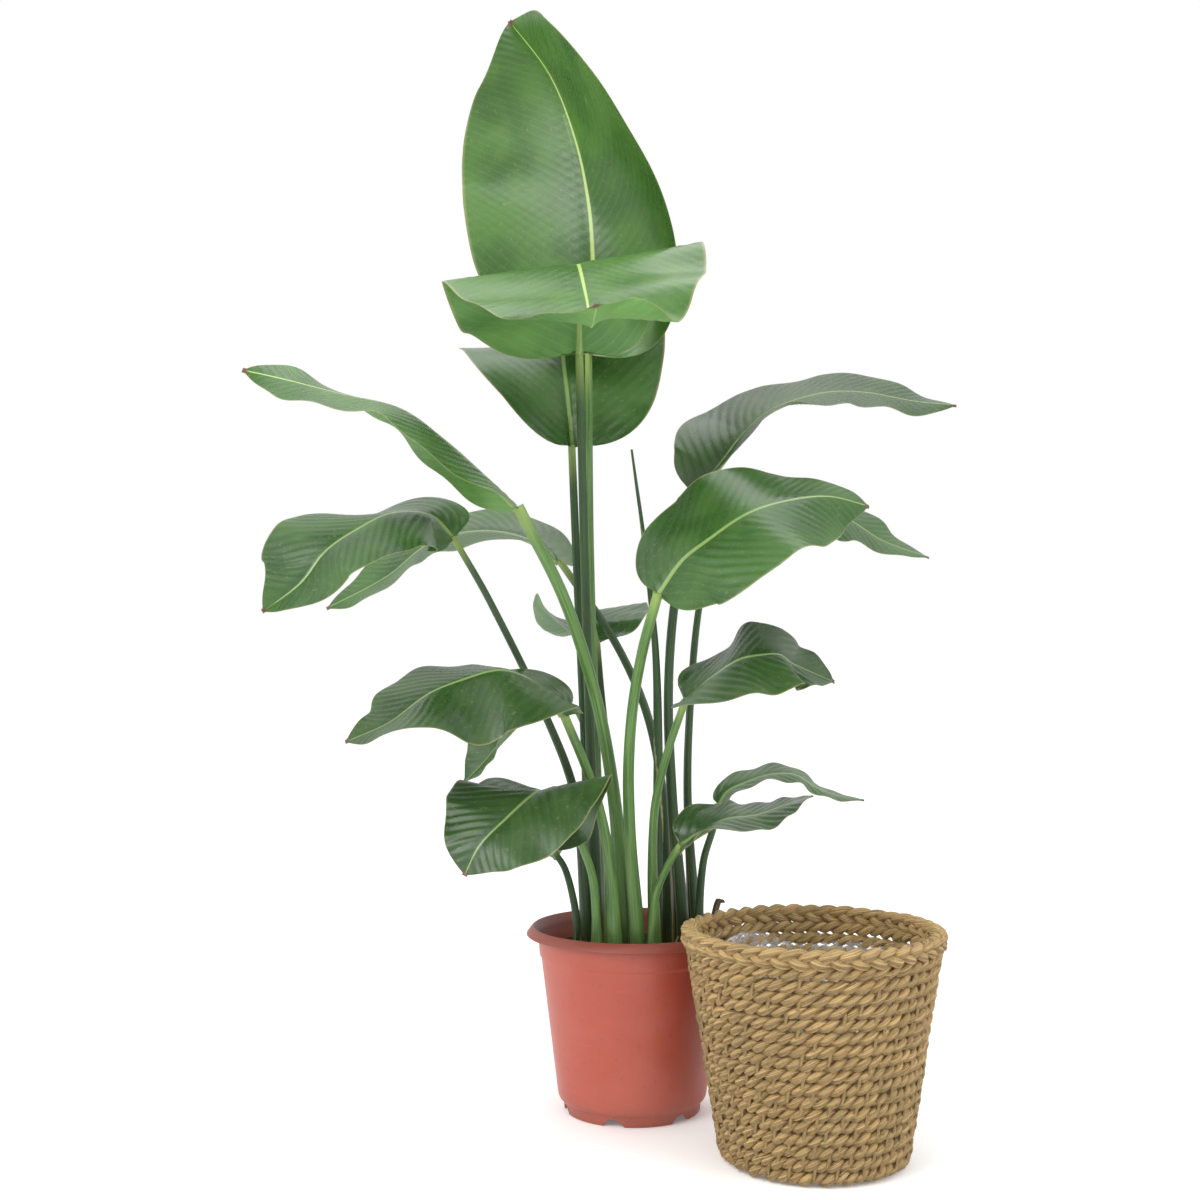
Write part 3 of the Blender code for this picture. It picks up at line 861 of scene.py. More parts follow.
def tube_rings(places: Array, radii: Array, sides: int, closed_route: bool = False) -> Array:
    """Rings of points around a route.

    Args:
        places: the route's places.
        radii: a radius for each place.
        sides: points in each ring.
        closed_route: whether the route is a loop.

    Returns:
        An array of rings.
    """
    if closed_route:
        direction = np.roll(places, -1, axis=0) - np.roll(places, 1, axis=0)
    else:
        direction = np.gradient(places, axis=0)
    direction /= np.linalg.norm(direction, axis=1)[:, None]
    steep = np.abs(direction[:, 2]) > STEEP
    reference = UPWARD
    if steep.any():
        reference = BACKWARD if steep.all() else SLANTED
    side = np.cross(direction, np.array(reference))
    side /= np.linalg.norm(side, axis=1)[:, None]
    over = np.cross(side, direction)
    turn = np.linspace(0, FULL_TURN, sides, endpoint=False)
    return places[:, None] + radii[:, None, None] * (
        np.cos(turn)[None, :, None] * side[:, None] + np.sin(turn)[None, :, None] * over[:, None]
    )


def adopt(thing: bpy.types.Object, slot: str, *nodes: str) -> bpy.types.Object:
    """Let a piece ride on the body and stand for its nodes.

    Args:
        thing: the piece.
        slot: its material slot; not used.
        nodes: the plain nodes it stands for.

    Returns:
        The piece.
    """
    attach(thing, ROOT)
    if nodes:
        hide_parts(*nodes)
    LOG.info("%s: %d faces", thing.name, len(thing.data.polygons))
    return thing


# ------------------------------------------------------------------ the plant
@dataclass
class Leaf:
    """One leaf: midrib, halves and stalk, in metres from the pot's axis.

    left and right are fold angles in degrees from base to tip, the curls bend each half to its
    margin, face is the way its upper side looks, and ripple is the height and count of waves
    along its margin.
    """

    name: str
    midrib: list
    half_width: tuple
    face: tuple
    left: tuple
    right: tuple
    stalk: list
    stalk_radii: tuple = (0.0065, 0.0045)
    curl_left: tuple = (0.0, 0.0)
    curl_right: tuple = (0.0, 0.0)
    widest: float = 0.38
    lean: tuple = (-0.25, 0.10, 0.25, 0.30)
    tone: Tone = Tone.GREEN
    # Whether the stalk takes the lit copy of the stalk finish; otherwise it takes the darker copy
    # with painted shade.
    lit_stalk: bool = False
    ripple: tuple = (0.002, 5.0)


LEAVES: list[Leaf] = [
    Leaf("01", [(-0.050, 0.030, 0.865), (-0.045, 0.030, 0.930), (-0.045, 0.030, 0.975),
                (-0.050, 0.035, 1.045), (-0.065, 0.040, 1.120), (-0.095, 0.050, 1.200),
                (-0.145, 0.060, 1.270)],
         (0.150, 0.150), (0, -1, 0), (0, 0, -10, 0, 30), (10, 35, 65, 80, 80, 40),
         [(-0.038, 0.030), (-0.040, 0.030, 0.355), (-0.048, 0.030, 0.625)],
         curl_left=(25, 25, 20, 10, 0), curl_right=(40, 95, 80, 30, 0, 0), widest=0.42,
         tone=Tone.FRESH_AND_LIT, lit_stalk=True),
    Leaf("02", [(-0.060, -0.030, 0.855), (-0.060, -0.070, 0.905), (-0.060, -0.140, 0.930),
                (-0.050, -0.220, 0.875), (-0.045, -0.280, 0.835), (-0.040, -0.330, 0.845)],
         (0.135, 0.145), (0, 0.3, 1), (20, 35, 15, 10, 10, 15, 0, 35, 15),
         (10, -5, -20, -10, -10, -5, 0, 5, -20),
         [(-0.042, 0.000), (-0.046, 0.000, 0.360), (-0.054, -0.010, 0.620)],
         lean=(-0.40, 0.00, 0.15, 0.25), tone=Tone.FRESH_AND_LIT),
    Leaf("03", [(-0.070, 0.050, 0.760), (-0.075, 0.055, 0.815), (-0.080, 0.065, 0.860),
                (-0.085, 0.100, 0.930), (-0.090, 0.170, 0.995), (-0.095, 0.270, 0.995)],
         (0.125, 0.125), (0, -0.6, 0.6), (60, 20, -60, -30, 0), (15, 0, 10, 5, 0),
         [(-0.050, 0.052), (-0.052, 0.052, 0.355), (-0.064, 0.050, 0.620)],
         lean=(-0.30, 0.10, 0.20, 0.25)),
    Leaf("04", [(-0.125, -0.100, 0.675), (-0.155, -0.105, 0.705), (-0.200, -0.110, 0.745),
                (-0.250, -0.115, 0.780), (-0.315, -0.120, 0.795), (-0.375, -0.120, 0.810),
                (-0.420, -0.120, 0.820)],
         (0.075, 0.075), (0, 0, 1), (-10, -25, -20, -30, -65), (-25, -25, -10, 15, 60),
         [(-0.008, -0.052), (-0.022, -0.056, 0.365), (-0.040, -0.068, 0.465),
          (-0.075, -0.085, 0.575)],
         stalk_radii=(0.0080, 0.0070), tone=Tone.FRESH_AND_LIT, lit_stalk=True),
    Leaf("05", [(-0.200, -0.050, 0.645), (-0.225, -0.060, 0.670), (-0.265, -0.080, 0.670),
                (-0.300, -0.100, 0.650), (-0.330, -0.120, 0.625), (-0.355, -0.130, 0.590),
                (-0.395, -0.130, 0.560)],
         (0.085, 0.085), (0.2, -0.8, 0.6), (15, 20, 30, 35, 30), (0, -50, -25, 0, 45),
         [(-0.050, -0.020), (-0.065, -0.022, 0.355), (-0.095, -0.030, 0.440),
          (-0.160, -0.045, 0.575)],
         stalk_radii=(0.0065, 0.0040)),
    Leaf("06", [(-0.085, 0.080, 0.625), (-0.115, 0.110, 0.650), (-0.160, 0.140, 0.665),
                (-0.210, 0.160, 0.665), (-0.255, 0.170, 0.650), (-0.305, 0.170, 0.610),
                (-0.380, 0.170, 0.570)],
         (0.075, 0.075), (0, 0.1, 1), (30, -20, -30, -25, -60), (-15, 20, 35, 45, 45),
         [(0.045, 0.048), (0.038, 0.052, 0.340), (0.020, 0.062, 0.440),
          (-0.020, 0.070, 0.530)]),
    Leaf("07", [(0.070, 0.000, 0.700), (0.095, 0.000, 0.725), (0.130, 0.010, 0.770),
                (0.165, 0.020, 0.800), (0.225, 0.030, 0.820), (0.275, 0.030, 0.820),
                (0.330, 0.030, 0.810), (0.380, 0.030, 0.805)],
         (0.080, 0.070), (0, -0.1, 1), (90, 25, 15, 25, 10), (5, 15, -15, -25, -55),
         [(0.056, 0.018), (0.046, 0.020, 0.355), (0.042, 0.015, 0.465),
          (0.048, 0.008, 0.565)],
         stalk_radii=(0.0070, 0.0050), tone=Tone.DEEP),
    Leaf("08", [(0.025, -0.120, 0.580), (0.050, -0.125, 0.615), (0.075, -0.130, 0.635),
                (0.120, -0.130, 0.665), (0.165, -0.120, 0.680), (0.210, -0.110, 0.685),
                (0.255, -0.100, 0.675)],
         (0.095, 0.090), (-0.3, -0.8, 0.5), (-15, -15, -15, -30, -25), (5, 5, 10, -5, 0),
         [(0.002, -0.072), (-0.006, -0.082, 0.365), (-0.003, -0.092, 0.445),
          (0.008, -0.104, 0.515)],
         stalk_radii=(0.0075, 0.0060), lit_stalk=True),
    Leaf("09", [(0.095, 0.060, 0.625), (0.135, 0.070, 0.670), (0.190, 0.080, 0.690),
                (0.255, 0.090, 0.680), (0.305, 0.090, 0.650), (0.360, 0.090, 0.630)],
         (0.060, 0.060), (0, 0, 1), (0, 10, 20, 35, 15), (5, -10, -40, -30, -35),
         [(0.072, 0.042), (0.066, 0.050, 0.355), (0.070, 0.056, 0.460),
          (0.080, 0.060, 0.565)],
         stalk_radii=(0.0060, 0.0040)),
    Leaf("10", [(-0.075, -0.100, 0.450), (-0.090, -0.110, 0.475), (-0.120, -0.130, 0.495),
                (-0.145, -0.140, 0.500), (-0.180, -0.150, 0.490), (-0.215, -0.160, 0.475),
                (-0.255, -0.170, 0.445), (-0.300, -0.170, 0.425)],
         (0.085, 0.090), (0, -0.3, 1), (45, -25, -35, 10, -15), (30, -15, -5, 5, 25),
         [(-0.020, -0.076), (-0.028, -0.084, 0.305), (-0.045, -0.090, 0.375)],
         stalk_radii=(0.0075, 0.0055), tone=Tone.DEEP, lit_stalk=True),
    Leaf("11", [(-0.065, 0.072, 0.450), (-0.085, 0.080, 0.455), (-0.120, 0.086, 0.445),
                (-0.150, 0.088, 0.415), (-0.180, 0.088, 0.380), (-0.200, 0.088, 0.360)],
         (0.050, 0.050), (0, 0.2, 1), (-20, -15, -15, -30, -40), (-5, 0, 25, 80, 65),
         [(-0.030, 0.066), (-0.040, 0.070, 0.355), (-0.050, 0.072, 0.415)],
         stalk_radii=(0.0060, 0.0040)),
    Leaf("12", [(-0.065, -0.090, 0.325), (-0.075, -0.100, 0.350), (-0.095, -0.120, 0.370),
                (-0.105, -0.140, 0.370), (-0.135, -0.170, 0.345), (-0.160, -0.185, 0.320),
                (-0.175, -0.190, 0.290)],
         (0.085, 0.085), (0, -0.6, 0.8), (10, 35, 10, 0, 5), (-45, -35, -5, 5, 10),
         [(-0.040, -0.074), (-0.044, -0.082, 0.270), (-0.055, -0.088, 0.305)],
         stalk_radii=(0.0055, 0.0045), tone=Tone.DEEP, lit_stalk=True),
    Leaf("13", [(-0.090, -0.030, 0.295), (-0.090, 0.000, 0.305), (-0.090, 0.040, 0.300),
                (-0.090, 0.080, 0.285), (-0.090, 0.110, 0.265)],
         (0.040, 0.018), (0, 0.2, 1), (0, 0), (0, 0),
         [(-0.062, -0.044), (-0.066, -0.042, 0.240), (-0.076, -0.036, 0.275)],
         stalk_radii=(0.0050, 0.0035)),
    Leaf("14", [(-0.040, 0.088, 0.530), (-0.045, 0.105, 0.550), (-0.050, 0.145, 0.565),
                (-0.055, 0.200, 0.560), (-0.055, 0.270, 0.545)],
         (0.085, 0.075), (0, 0.1, 1), (15, 20, 0, -15, 0), (20, 5, 10, 0, 0),
         [(-0.008, 0.070), (-0.022, 0.078, 0.350), (-0.034, 0.084, 0.460)],
         stalk_radii=(0.0055, 0.0035), curl_left=(60, 120, 120, 60)),
    Leaf("15", [(0.055, -0.100, 0.465), (0.080, -0.120, 0.490), (0.110, -0.130, 0.510),
                (0.135, -0.130, 0.515), (0.155, -0.125, 0.515), (0.170, -0.120, 0.505),
                (0.215, -0.110, 0.485)],
         (0.070, 0.070), (0, -0.6, 0.8), (25, -25, -5, -5, 20), (40, 15, 0, 15, 20),
         [(0.022, -0.060), (0.022, -0.068, 0.335), (0.034, -0.086, 0.400)],
         tone=Tone.DEEP, lit_stalk=True),
    Leaf("16", [(0.100, 0.030, 0.340), (0.110, 0.030, 0.355), (0.130, 0.030, 0.365),
                (0.160, 0.030, 0.375), (0.190, 0.030, 0.375), (0.215, 0.030, 0.360),
                (0.240, 0.030, 0.350), (0.270, 0.030, 0.345)],
         (0.035, 0.035), (0, 0, 1), (30, 15, 10, 5, 5), (-25, -5, -15, -15, -20),
         [(0.076, 0.004), (0.082, 0.014, 0.275), (0.095, 0.026, 0.315)],
         stalk_radii=(0.0055, 0.0040)),
    Leaf("17", [(0.050, -0.100, 0.310), (0.070, -0.110, 0.325), (0.095, -0.120, 0.340),
                (0.130, -0.120, 0.345), (0.160, -0.120, 0.355), (0.190, -0.120, 0.365)],
         (0.050, 0.050), (0, -0.4, 0.9), (60, 0, -15, -20, -20), (-5, 20, 10, 10, 25),
         [(0.020, -0.082), (0.024, -0.088, 0.255), (0.038, -0.095, 0.290)],
         stalk_radii=(0.0055, 0.0040), tone=Tone.DEEP, lit_stalk=True),
]


@dataclass
class Spine:
    """The midrib of a blade, read at its stations."""

    fractions: Array
    middle: Array
    direction: Array
    normal: Array
    length: float


@dataclass
class BladeMaker:
    """Builds a leaf blade as two pleated skins with a rim, a keel below and a channel above."""

    origin: Array
    station_pitch: float = 0.0022
    crowding: float = 0.92
    columns: int = 16
    thickness: float = 0.0009
    thinning: float = 0.55
    end_half_width: float = 0.003
    straight: float = 1e-3
    pleat_pitch: float = 0.0125
    pleat_slope: float = 0.75
    pleat_height: float = 0.0006
    pleat_start: tuple[float, float] = (0.003, 0.016)
    pleat_end: tuple[float, float] = (1.0, 0.90)
    pleat_width: float = 0.03
    ripple_width: float = 0.04
    channel_depth: float = 0.0022
    channel_width: float = 0.006
    channel_fading: float = 0.7
    keel: float = 0.0045
    keel_fading: float = 0.8
    keel_width: float = 0.35
    least_keel_width: float = 0.0012
    crisp_angle: float = 75.0

    def spine(self, leaf: Leaf) -> Spine:
        """Read a leaf's midrib.

        Args:
            leaf: the leaf.

        Returns:
            Its spine.
        """
        length = smooth_route(leaf.midrib, np.zeros(1))[2]
        fractions = np.linspace(0, 1, int(length / self.station_pitch)) ** self.crowding
        middle, direction, length = smooth_route(leaf.midrib, fractions)
        face = np.asarray(leaf.face, dtype=float)
        normal = face - (direction @ face)[:, None] * direction
        normal /= np.linalg.norm(normal, axis=1)[:, None]
        return Spine(fractions, middle, direction, normal, length)

    def half(self, leaf: Leaf, spine: Spine, side: int) -> tuple[Array, Array]:
        """Middle surface of one half of a blade.

        Args:
            leaf: the leaf.
            spine: its midrib.
            side: -1 for the left half, 1 for the right half.

        Returns:
            Points and vein map, from the midrib outward.
        """
        fractions, across = spine.fractions, np.linspace(0, 1, self.columns + 1)
        fold, curl = (leaf.left, leaf.curl_left) if side < 0 else (leaf.right, leaf.curl_right)
        widest = leaf.half_width[0 if side < 0 else 1]
        width = (outline(fractions, leaf.widest) * widest)[:, None]
        lean = spread(leaf.lean, fractions)[:, None]
        leaning = lean * np.maximum(width - self.end_half_width, 0)
        width = np.maximum(width, self.end_half_width)
        bend = np.radians(spread(curl, fractions))
        bend = np.where(np.abs(bend) < self.straight, self.straight, bend)[:, None]
        start = np.radians(spread(fold, fractions))[:, None] - bend / 2
        angle = start + bend * across
        out = width * (np.sin(angle) - np.sin(start)) / bend
        up = width * (np.cos(start) - np.cos(angle)) / bend
        distance = width * across
        count = fractions[:, None] * spine.length - self.pleat_slope * distance
        count = count / self.pleat_pitch
        fade = smoothstep(*self.pleat_start, distance) * smoothstep(*self.pleat_end, across)
        fade = fade * smoothstep(0.0, self.pleat_width, width)
        phase = sum(ord(letter) for letter in leaf.name) + side
        wave = leaf.ripple[0] * across**2 * smoothstep(0.0, self.ripple_width, width)
        wave = wave * np.sin(FULL_TURN * leaf.ripple[1] * fractions + phase)[:, None]
        channel = -self.channel_depth * np.exp(-(distance / self.channel_width) ** 2)
        channel = channel * (1 - self.channel_fading * fractions[:, None])
        lift = up + self.pleat_height * fade * np.cos(FULL_TURN * count) + wave + channel
        sideways = np.cross(spine.direction, spine.normal)
        places = (
            spine.middle[:, None]
            + side * out[..., None] * sideways[:, None]
            + lift[..., None] * spine.normal[:, None]
            + (leaning * across)[..., None] * spine.direction[:, None]
        )
        return places, pair(side * distance, count)

    def build(self, leaf: Leaf, upper: Material, lower: Material) -> bpy.types.Object:
        """Make one blade.

        Args:
            leaf: the leaf.
            upper: finish of the upper side.
            lower: finish of the underside.

        Returns:
            The blade's object.
        """
        spine = self.spine(leaf)
        (left, left_veins), (right, right_veins) = (self.half(leaf, spine, k) for k in (-1, 1))
        places = np.concatenate([left[:, :0:-1], right], axis=1)
        veins = np.concatenate([left_veins[:, :0:-1], right_veins], axis=1)
        across = np.abs(np.linspace(-1, 1, 2 * self.columns + 1))
        shares = pair(across[None], spine.fractions[:, None])
        outward = np.cross(np.gradient(places, axis=1), np.gradient(places, axis=0))
        outward /= np.linalg.norm(outward, axis=2)[..., None] + 1e-12
        places = places + self.origin
        half = self.thickness / 2 * (1 - self.thinning * shares[..., :1] ** 2)
        taper = (1 - self.keel_fading * shares[..., 1:]) * self.keel
        rib_width = self.keel_width * self.keel + self.least_keel_width
        rib = taper * np.exp(-(veins[..., :1] / rib_width) ** 2)
        maps = {"veins": veins, "shares": shares}
        skin = Skin()
        top = skin.grid(places + outward * half, 0, **maps)
        under = skin.grid(places - outward * (half + rib), 1, flip=True, **maps)
        for edge in (np.s_[0], np.s_[-1], np.s_[:, 0], np.s_[:, -1]):
            skin.strip(list(top[edge]), list(under[edge]))
        return skin.finish("blade_" + leaf.name, [upper, lower], self.crisp_angle)


@dataclass
class StalkMaker:
    """Builds a channelled stalk that swells to a clasping sheath at its foot."""

    origin: Array
    soil_top: float
    rings: int = 70
    sides: int = 28
    buried: float = 0.004
    upright: float = 0.030
    sheath_share: float = 0.34
    sheath_swell: float = 1.45
    sheath_full: float = 0.15
    taper: float = 0.8
    groove_depth: float = 0.28
    groove_width: float = 0.55
    groove_rise: tuple[float, float] = (0.25, 0.6)
    wrap_turns: tuple[float, float] = (0.55, 0.80)
    facing_front: float = 0.25
    margin_turn: float = 0.72
    margin_width: float = 0.10

    def build(self, leaf: Leaf, finish: Material) -> bpy.types.Object:
        """Make one stalk.

        Args:
            leaf: the leaf whose stalk it is.
            finish: its material.

        Returns:
            The stalk's object.
        """
        foot = leaf.stalk[0]
        heights = (self.soil_top - self.buried, self.soil_top + self.upright)
        route = [(*foot, height) for height in heights] + leaf.stalk[1:] + [leaf.midrib[0]]
        fractions = np.linspace(0, 1, self.rings)
        places, direction, _ = smooth_route(route, fractions)
        lean = np.asarray(leaf.midrib[-1])[:2] - np.asarray(foot)[:2]
        open_way = -lean / (np.linalg.norm(lean) + 1e-9)
        opening = np.array([open_way[0], open_way[1] - self.facing_front, 0.0])
        front = opening - (direction @ opening)[:, None] * direction
        front /= np.linalg.norm(front, axis=1)[:, None]
        side = np.cross(direction, front)
        foot_radius, end_radius = leaf.stalk_radii
        radius = foot_radius + (end_radius - foot_radius) * fractions**self.taper
        full = self.sheath_share * self.sheath_full
        sheath = smoothstep(self.sheath_share, full, fractions)[:, None]
        turn = np.linspace(-math.pi, math.pi, self.sides, endpoint=False)
        groove = self.groove_depth * np.exp(-(turn / self.groove_width) ** 2)[None]
        groove = groove * smoothstep(*self.groove_rise, fractions)[:, None]
        wrap = smoothstep(*self.wrap_turns, np.abs(turn))[None] * sheath
        reach = radius[:, None] * (1 - groove) * (1 + (self.sheath_swell - 1) * wrap)
        grid = places[:, None] + reach[..., None] * (
            np.cos(turn)[None, :, None] * front[:, None]
            + np.sin(turn)[None, :, None] * side[:, None]
        )
        edge = np.exp(-((np.abs(turn) - self.margin_turn) / self.margin_width) ** 2)[None]
        shares = pair(np.clip(edge * sheath, 0, 1), fractions[:, None])
        lay = pair(fractions[:, None] * 4, np.abs(turn)[None] / math.pi)
        skin = Skin()
        skin.rod(grid + self.origin, shares=shares, lay=lay)
        return skin.finish("stalk_body_" + leaf.name, [finish], 55.0)


@dataclass(frozen=True)
class Palette:
    """Colours of a leaf's upper side."""

    dark: Colour
    light: Colour
    vein: Colour
    midrib: Colour


# The lightest palette is brighter partly to paint light shining through the top leaves.
PALETTES: dict[Tone, Palette] = {
    Tone.FRESH_AND_LIT: Palette((0.030, 0.105, 0.010), (0.066, 0.175, 0.024), (0.13, 0.27, 0.06),
                        (0.42, 0.56, 0.16)),
    Tone.GREEN: Palette((0.020, 0.074, 0.009), (0.046, 0.125, 0.020), (0.09, 0.19, 0.045),
                        (0.24, 0.36, 0.11)),
    Tone.DEEP: Palette((0.017, 0.056, 0.009), (0.040, 0.094, 0.020), (0.08, 0.14, 0.040),
                       (0.20, 0.30, 0.10)),
}


def paler(colour: Colour, gain: float, lift: float) -> Colour:
    """A colour made lighter."""
    return tuple(part * gain + lift for part in colour)


@dataclass
class Plant:
    """All leaves, the rolled spear and the dry remains."""

    effects: Effects
    origin: Array
    soil_top: float
    spear_radii: tuple[float, float] = (0.0065, 0.0012)
    spear_turns: float = 2.2
    spear_overlap: float = 0.16
    spear_taper: float = 1.3
    spear_edge: float = 14.0
    spear_green: float = 0.85
    strand_radii: tuple[float, float] = (0.0012, 0.0009)

    def blade_finishes(self, tone: Tone) -> tuple[Material, Material]:
        """Finishes of a blade's upper side and underside.

        Args:
            tone: the leaf's tone, partly its age and partly painted light.

        Returns:
            The two materials.
        """
        upper = PALETTES[tone]
        above = BladeFinish("blade_upper_" + tone.value, upper.dark, upper.light, upper.vein,
                            upper.midrib, 0.27)
        below = BladeFinish("blade_under_" + tone.value, paler(upper.dark, 1.6, 0.02),
                            paler(upper.light, 1.5, 0.03), paler(upper.vein, 1.4, 0.04),
                            (0.26, 0.38, 0.12), 0.48, 0.0)
        return above.build(self.effects), below.build(self.effects)

    def build(self) -> None:
        """Make every piece of the plant."""
        blades = {tone: self.blade_finishes(tone) for tone in Tone}
        # The pale and dark stalk finishes are lit and shaded copies of one stalk green: the dark
        # one paints the shade on the stalks at the back, the pale one the lit stalks in front.
        pale = StalkFinish("stalk_lit", (0.040, 0.11, 0.018), (0.12, 0.24, 0.055))
        dark = StalkFinish("stalk_shaded", (0.009, 0.030, 0.006), (0.032, 0.085, 0.018))
        stalks = {True: pale.build(self.effects), False: dark.build(self.effects)}
        blade_maker = BladeMaker(self.origin)
        stalk_maker = StalkMaker(self.origin, self.soil_top)
        for leaf in LEAVES:
            blade = blade_maker.build(leaf, *blades[leaf.tone])
            adopt(blade, "leaf_green", "leaf_" + leaf.name)
            stalk = stalk_maker.build(leaf, stalks[leaf.lit_stalk])
            adopt(stalk, "stalk_green", "stalk_" + leaf.name)
        # The spear takes the dark stalk finish, the copy with painted shade.
        self.build_spear(stalks[False])
        self.build_sheath()
        self.build_strand()

    def build_spear(self, finish: Material) -> None:
        """New leaf rolled into a spear, with one overlapping edge winding up it.

        Args:
            finish: its material.
        """
        route = [(0.028, 0.006, self.soil_top), (0.028, 0.006, self.soil_top + 0.03),
                 (0.030, 0.010, 0.360), (0.028, 0.012, 0.510), (0.016, 0.012, 0.630),
                 (0.000, 0.010, 0.750)]
        stations, sides = 120, 24
        fractions = np.linspace(0, 1, stations)
        places = smooth_route(route, fractions)[0] + self.origin
        foot, tip = self.spear_radii
        rings = tube_rings(places, foot + (tip - foot) * fractions**self.spear_taper, sides)
        turn = np.linspace(0, 1, sides, endpoint=False)
        edge = (turn[None] - fractions[:, None] * self.spear_turns) % 1.0
        centre = places[:, None]
        rings = centre + (rings - centre) * (1 + self.spear_overlap * edge)[..., None]
        pale_edge = np.clip(1 - edge * self.spear_edge, 0, 1)
        shares = pair(pale_edge, fractions[:, None] * self.spear_green)
        skin = Skin()
        skin.rod(rings, shares=shares, lay=pair(fractions[:, None] * 4, turn[None]))
        adopt(skin.finish("spear_roll", [finish]), "leaf_green", "spear_leaf")

    def build_sheath(self) -> None:
        """Curled dry sheath beside the rear stalks."""
        finish = DryFinish("dry_sheath_fine", (0.075, 0.050, 0.022), (0.23, 0.18, 0.085))
        share = np.linspace(0, 1, 40)[:, None]
        turn = np.linspace(-1, 1, 25)[None]
        low, high = (np.array(corner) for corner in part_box("dry_sheath"))
        size, middle = high - low, (high + low) / 2
        curl = turn * 1.5
        x = low[0] + size[0] * (0.30 + 0.70 * share) - size[0] * 0.28 * (1 - np.cos(curl))
        x = x + 0.0006 * np.sin(turn * 22)
        y = middle[1] + size[1] / 2 * (1 - 0.75 * share) * np.sin(curl)
        z = low[2] + size[2] * np.sin(share * 1.9)
        skin = Skin()
        places = np.stack(np.broadcast_arrays(x, y, z), axis=-1)
        skin.grid(places, 0, lay=pair(share, turn))
        sheath = skin.finish("dry_sheath_curl", [finish.build(self.effects)], thickness=0.0008)
        adopt(sheath, "dry_leaf", "dry_sheath")

    def build_strand(self) -> None:
        """Thin dry strand on the soil."""
        finish = DryFinish("dry_strand_fine", (0.30, 0.20, 0.09), (0.56, 0.42, 0.22))
        stations, sides = 30, 8
        share = np.linspace(0, 1, stations)
        route = np.array([(0.024, -0.097, 0.0018), (0.034, -0.080, 0.003),
                          (0.044, -0.062, 0.012), (0.050, -0.050, 0.022)])
        places = smooth_route(route + np.array([0, 0, self.soil_top]), share)[0]
        rings = tube_rings(places + self.origin, np.linspace(*self.strand_radii, stations), sides)
        skin = Skin()
        skin.rod(rings, lay=pair(share[:, None], np.linspace(0, 1, sides)[None]))
        strand = skin.finish("dry_strand_tube", [finish.build(self.effects)])
        adopt(strand, "dry_leaf", "dry_strand")


# ------------------------------------------------------------------ pot and soil
@dataclass
class Pot:
    """Round nursery pot with a flared lip, a shoulder step and a notched foot ring."""

    effects: Effects
    centre: Array
    lip_radius: float
    height: float
    segments: int = 192
    notch_count: int = 6
    notch_width: float = 0.022
    notch_height: float = 0.008
    notch_radius: float = 0.0755
    notch_rows: tuple[int, int, int] = (3, 4, 5)
    first_notch: float = math.radians(-107)

    def profile(self) -> Array:
        """The wall's outline, as radius and height.

        Returns:
            The outline from the middle of the base, up the outside and down the inside.
        """
        lip, top = self.lip_radius, self.height
        foot = [(0.0, 0.009), (0.073, 0.009), (0.074, 0.0085), (0.074, 0.0), (0.0762, 0.0),
                (0.077, 0.0008), (0.0778, 0.0100), (0.0790, 0.0120), (0.0822, 0.0142),
                (0.0838, 0.0175), (0.0846, 0.0215)]
        body = [(0.0940, 0.0967), (0.1033, 0.1705), (0.1037, 0.1722), (0.1051, 0.1736),
                (0.1054, 0.1750), (0.1068, 0.1930), (0.1074, 0.1955), (0.1100, 0.1962)]
        rim = [(lip - 0.0012, 0.1958), (lip, 0.1966), (lip - 0.0002, 0.1980),
               (0.1145, top - 0.0012), (0.1128, top), (0.1115, top - 0.0004)]
        inside = [(0.1072, 0.1975), (0.1056, 0.1955), (0.1038, 0.1750), (0.1020, 0.1715),
                  (0.0925, 0.0967), (0.0830, 0.0215), (0.0800, 0.0125), (0.0, 0.012)]
        return np.array(foot + body + rim + inside)

    def build(self) -> None:
        """Make the pot."""
        turn = np.linspace(0, FULL_TURN, self.segments, endpoint=False)
        profile = self.profile()
        height = np.repeat(profile[:, 1:], self.segments, axis=1)
        pitch = FULL_TURN / self.notch_count
        away = (turn - self.first_notch + pitch / 2) % pitch - pitch / 2
        share = away * self.notch_radius / (self.notch_width / 2)
        arch = self.notch_height * np.sqrt(np.clip(1 - share**2, 0, 1))
        for row in self.notch_rows:
            height[row] = np.maximum(height[row], arch)
        skin = Skin()
        skin.grid(around(self.centre, profile[:, :1], turn, height), 0, closed=True, flip=True)
        pot = skin.finish("pot_shell", [PotFinish().build(self.effects)], 50.0)
        adopt(pot, "terracotta_plastic", "nursery_pot")


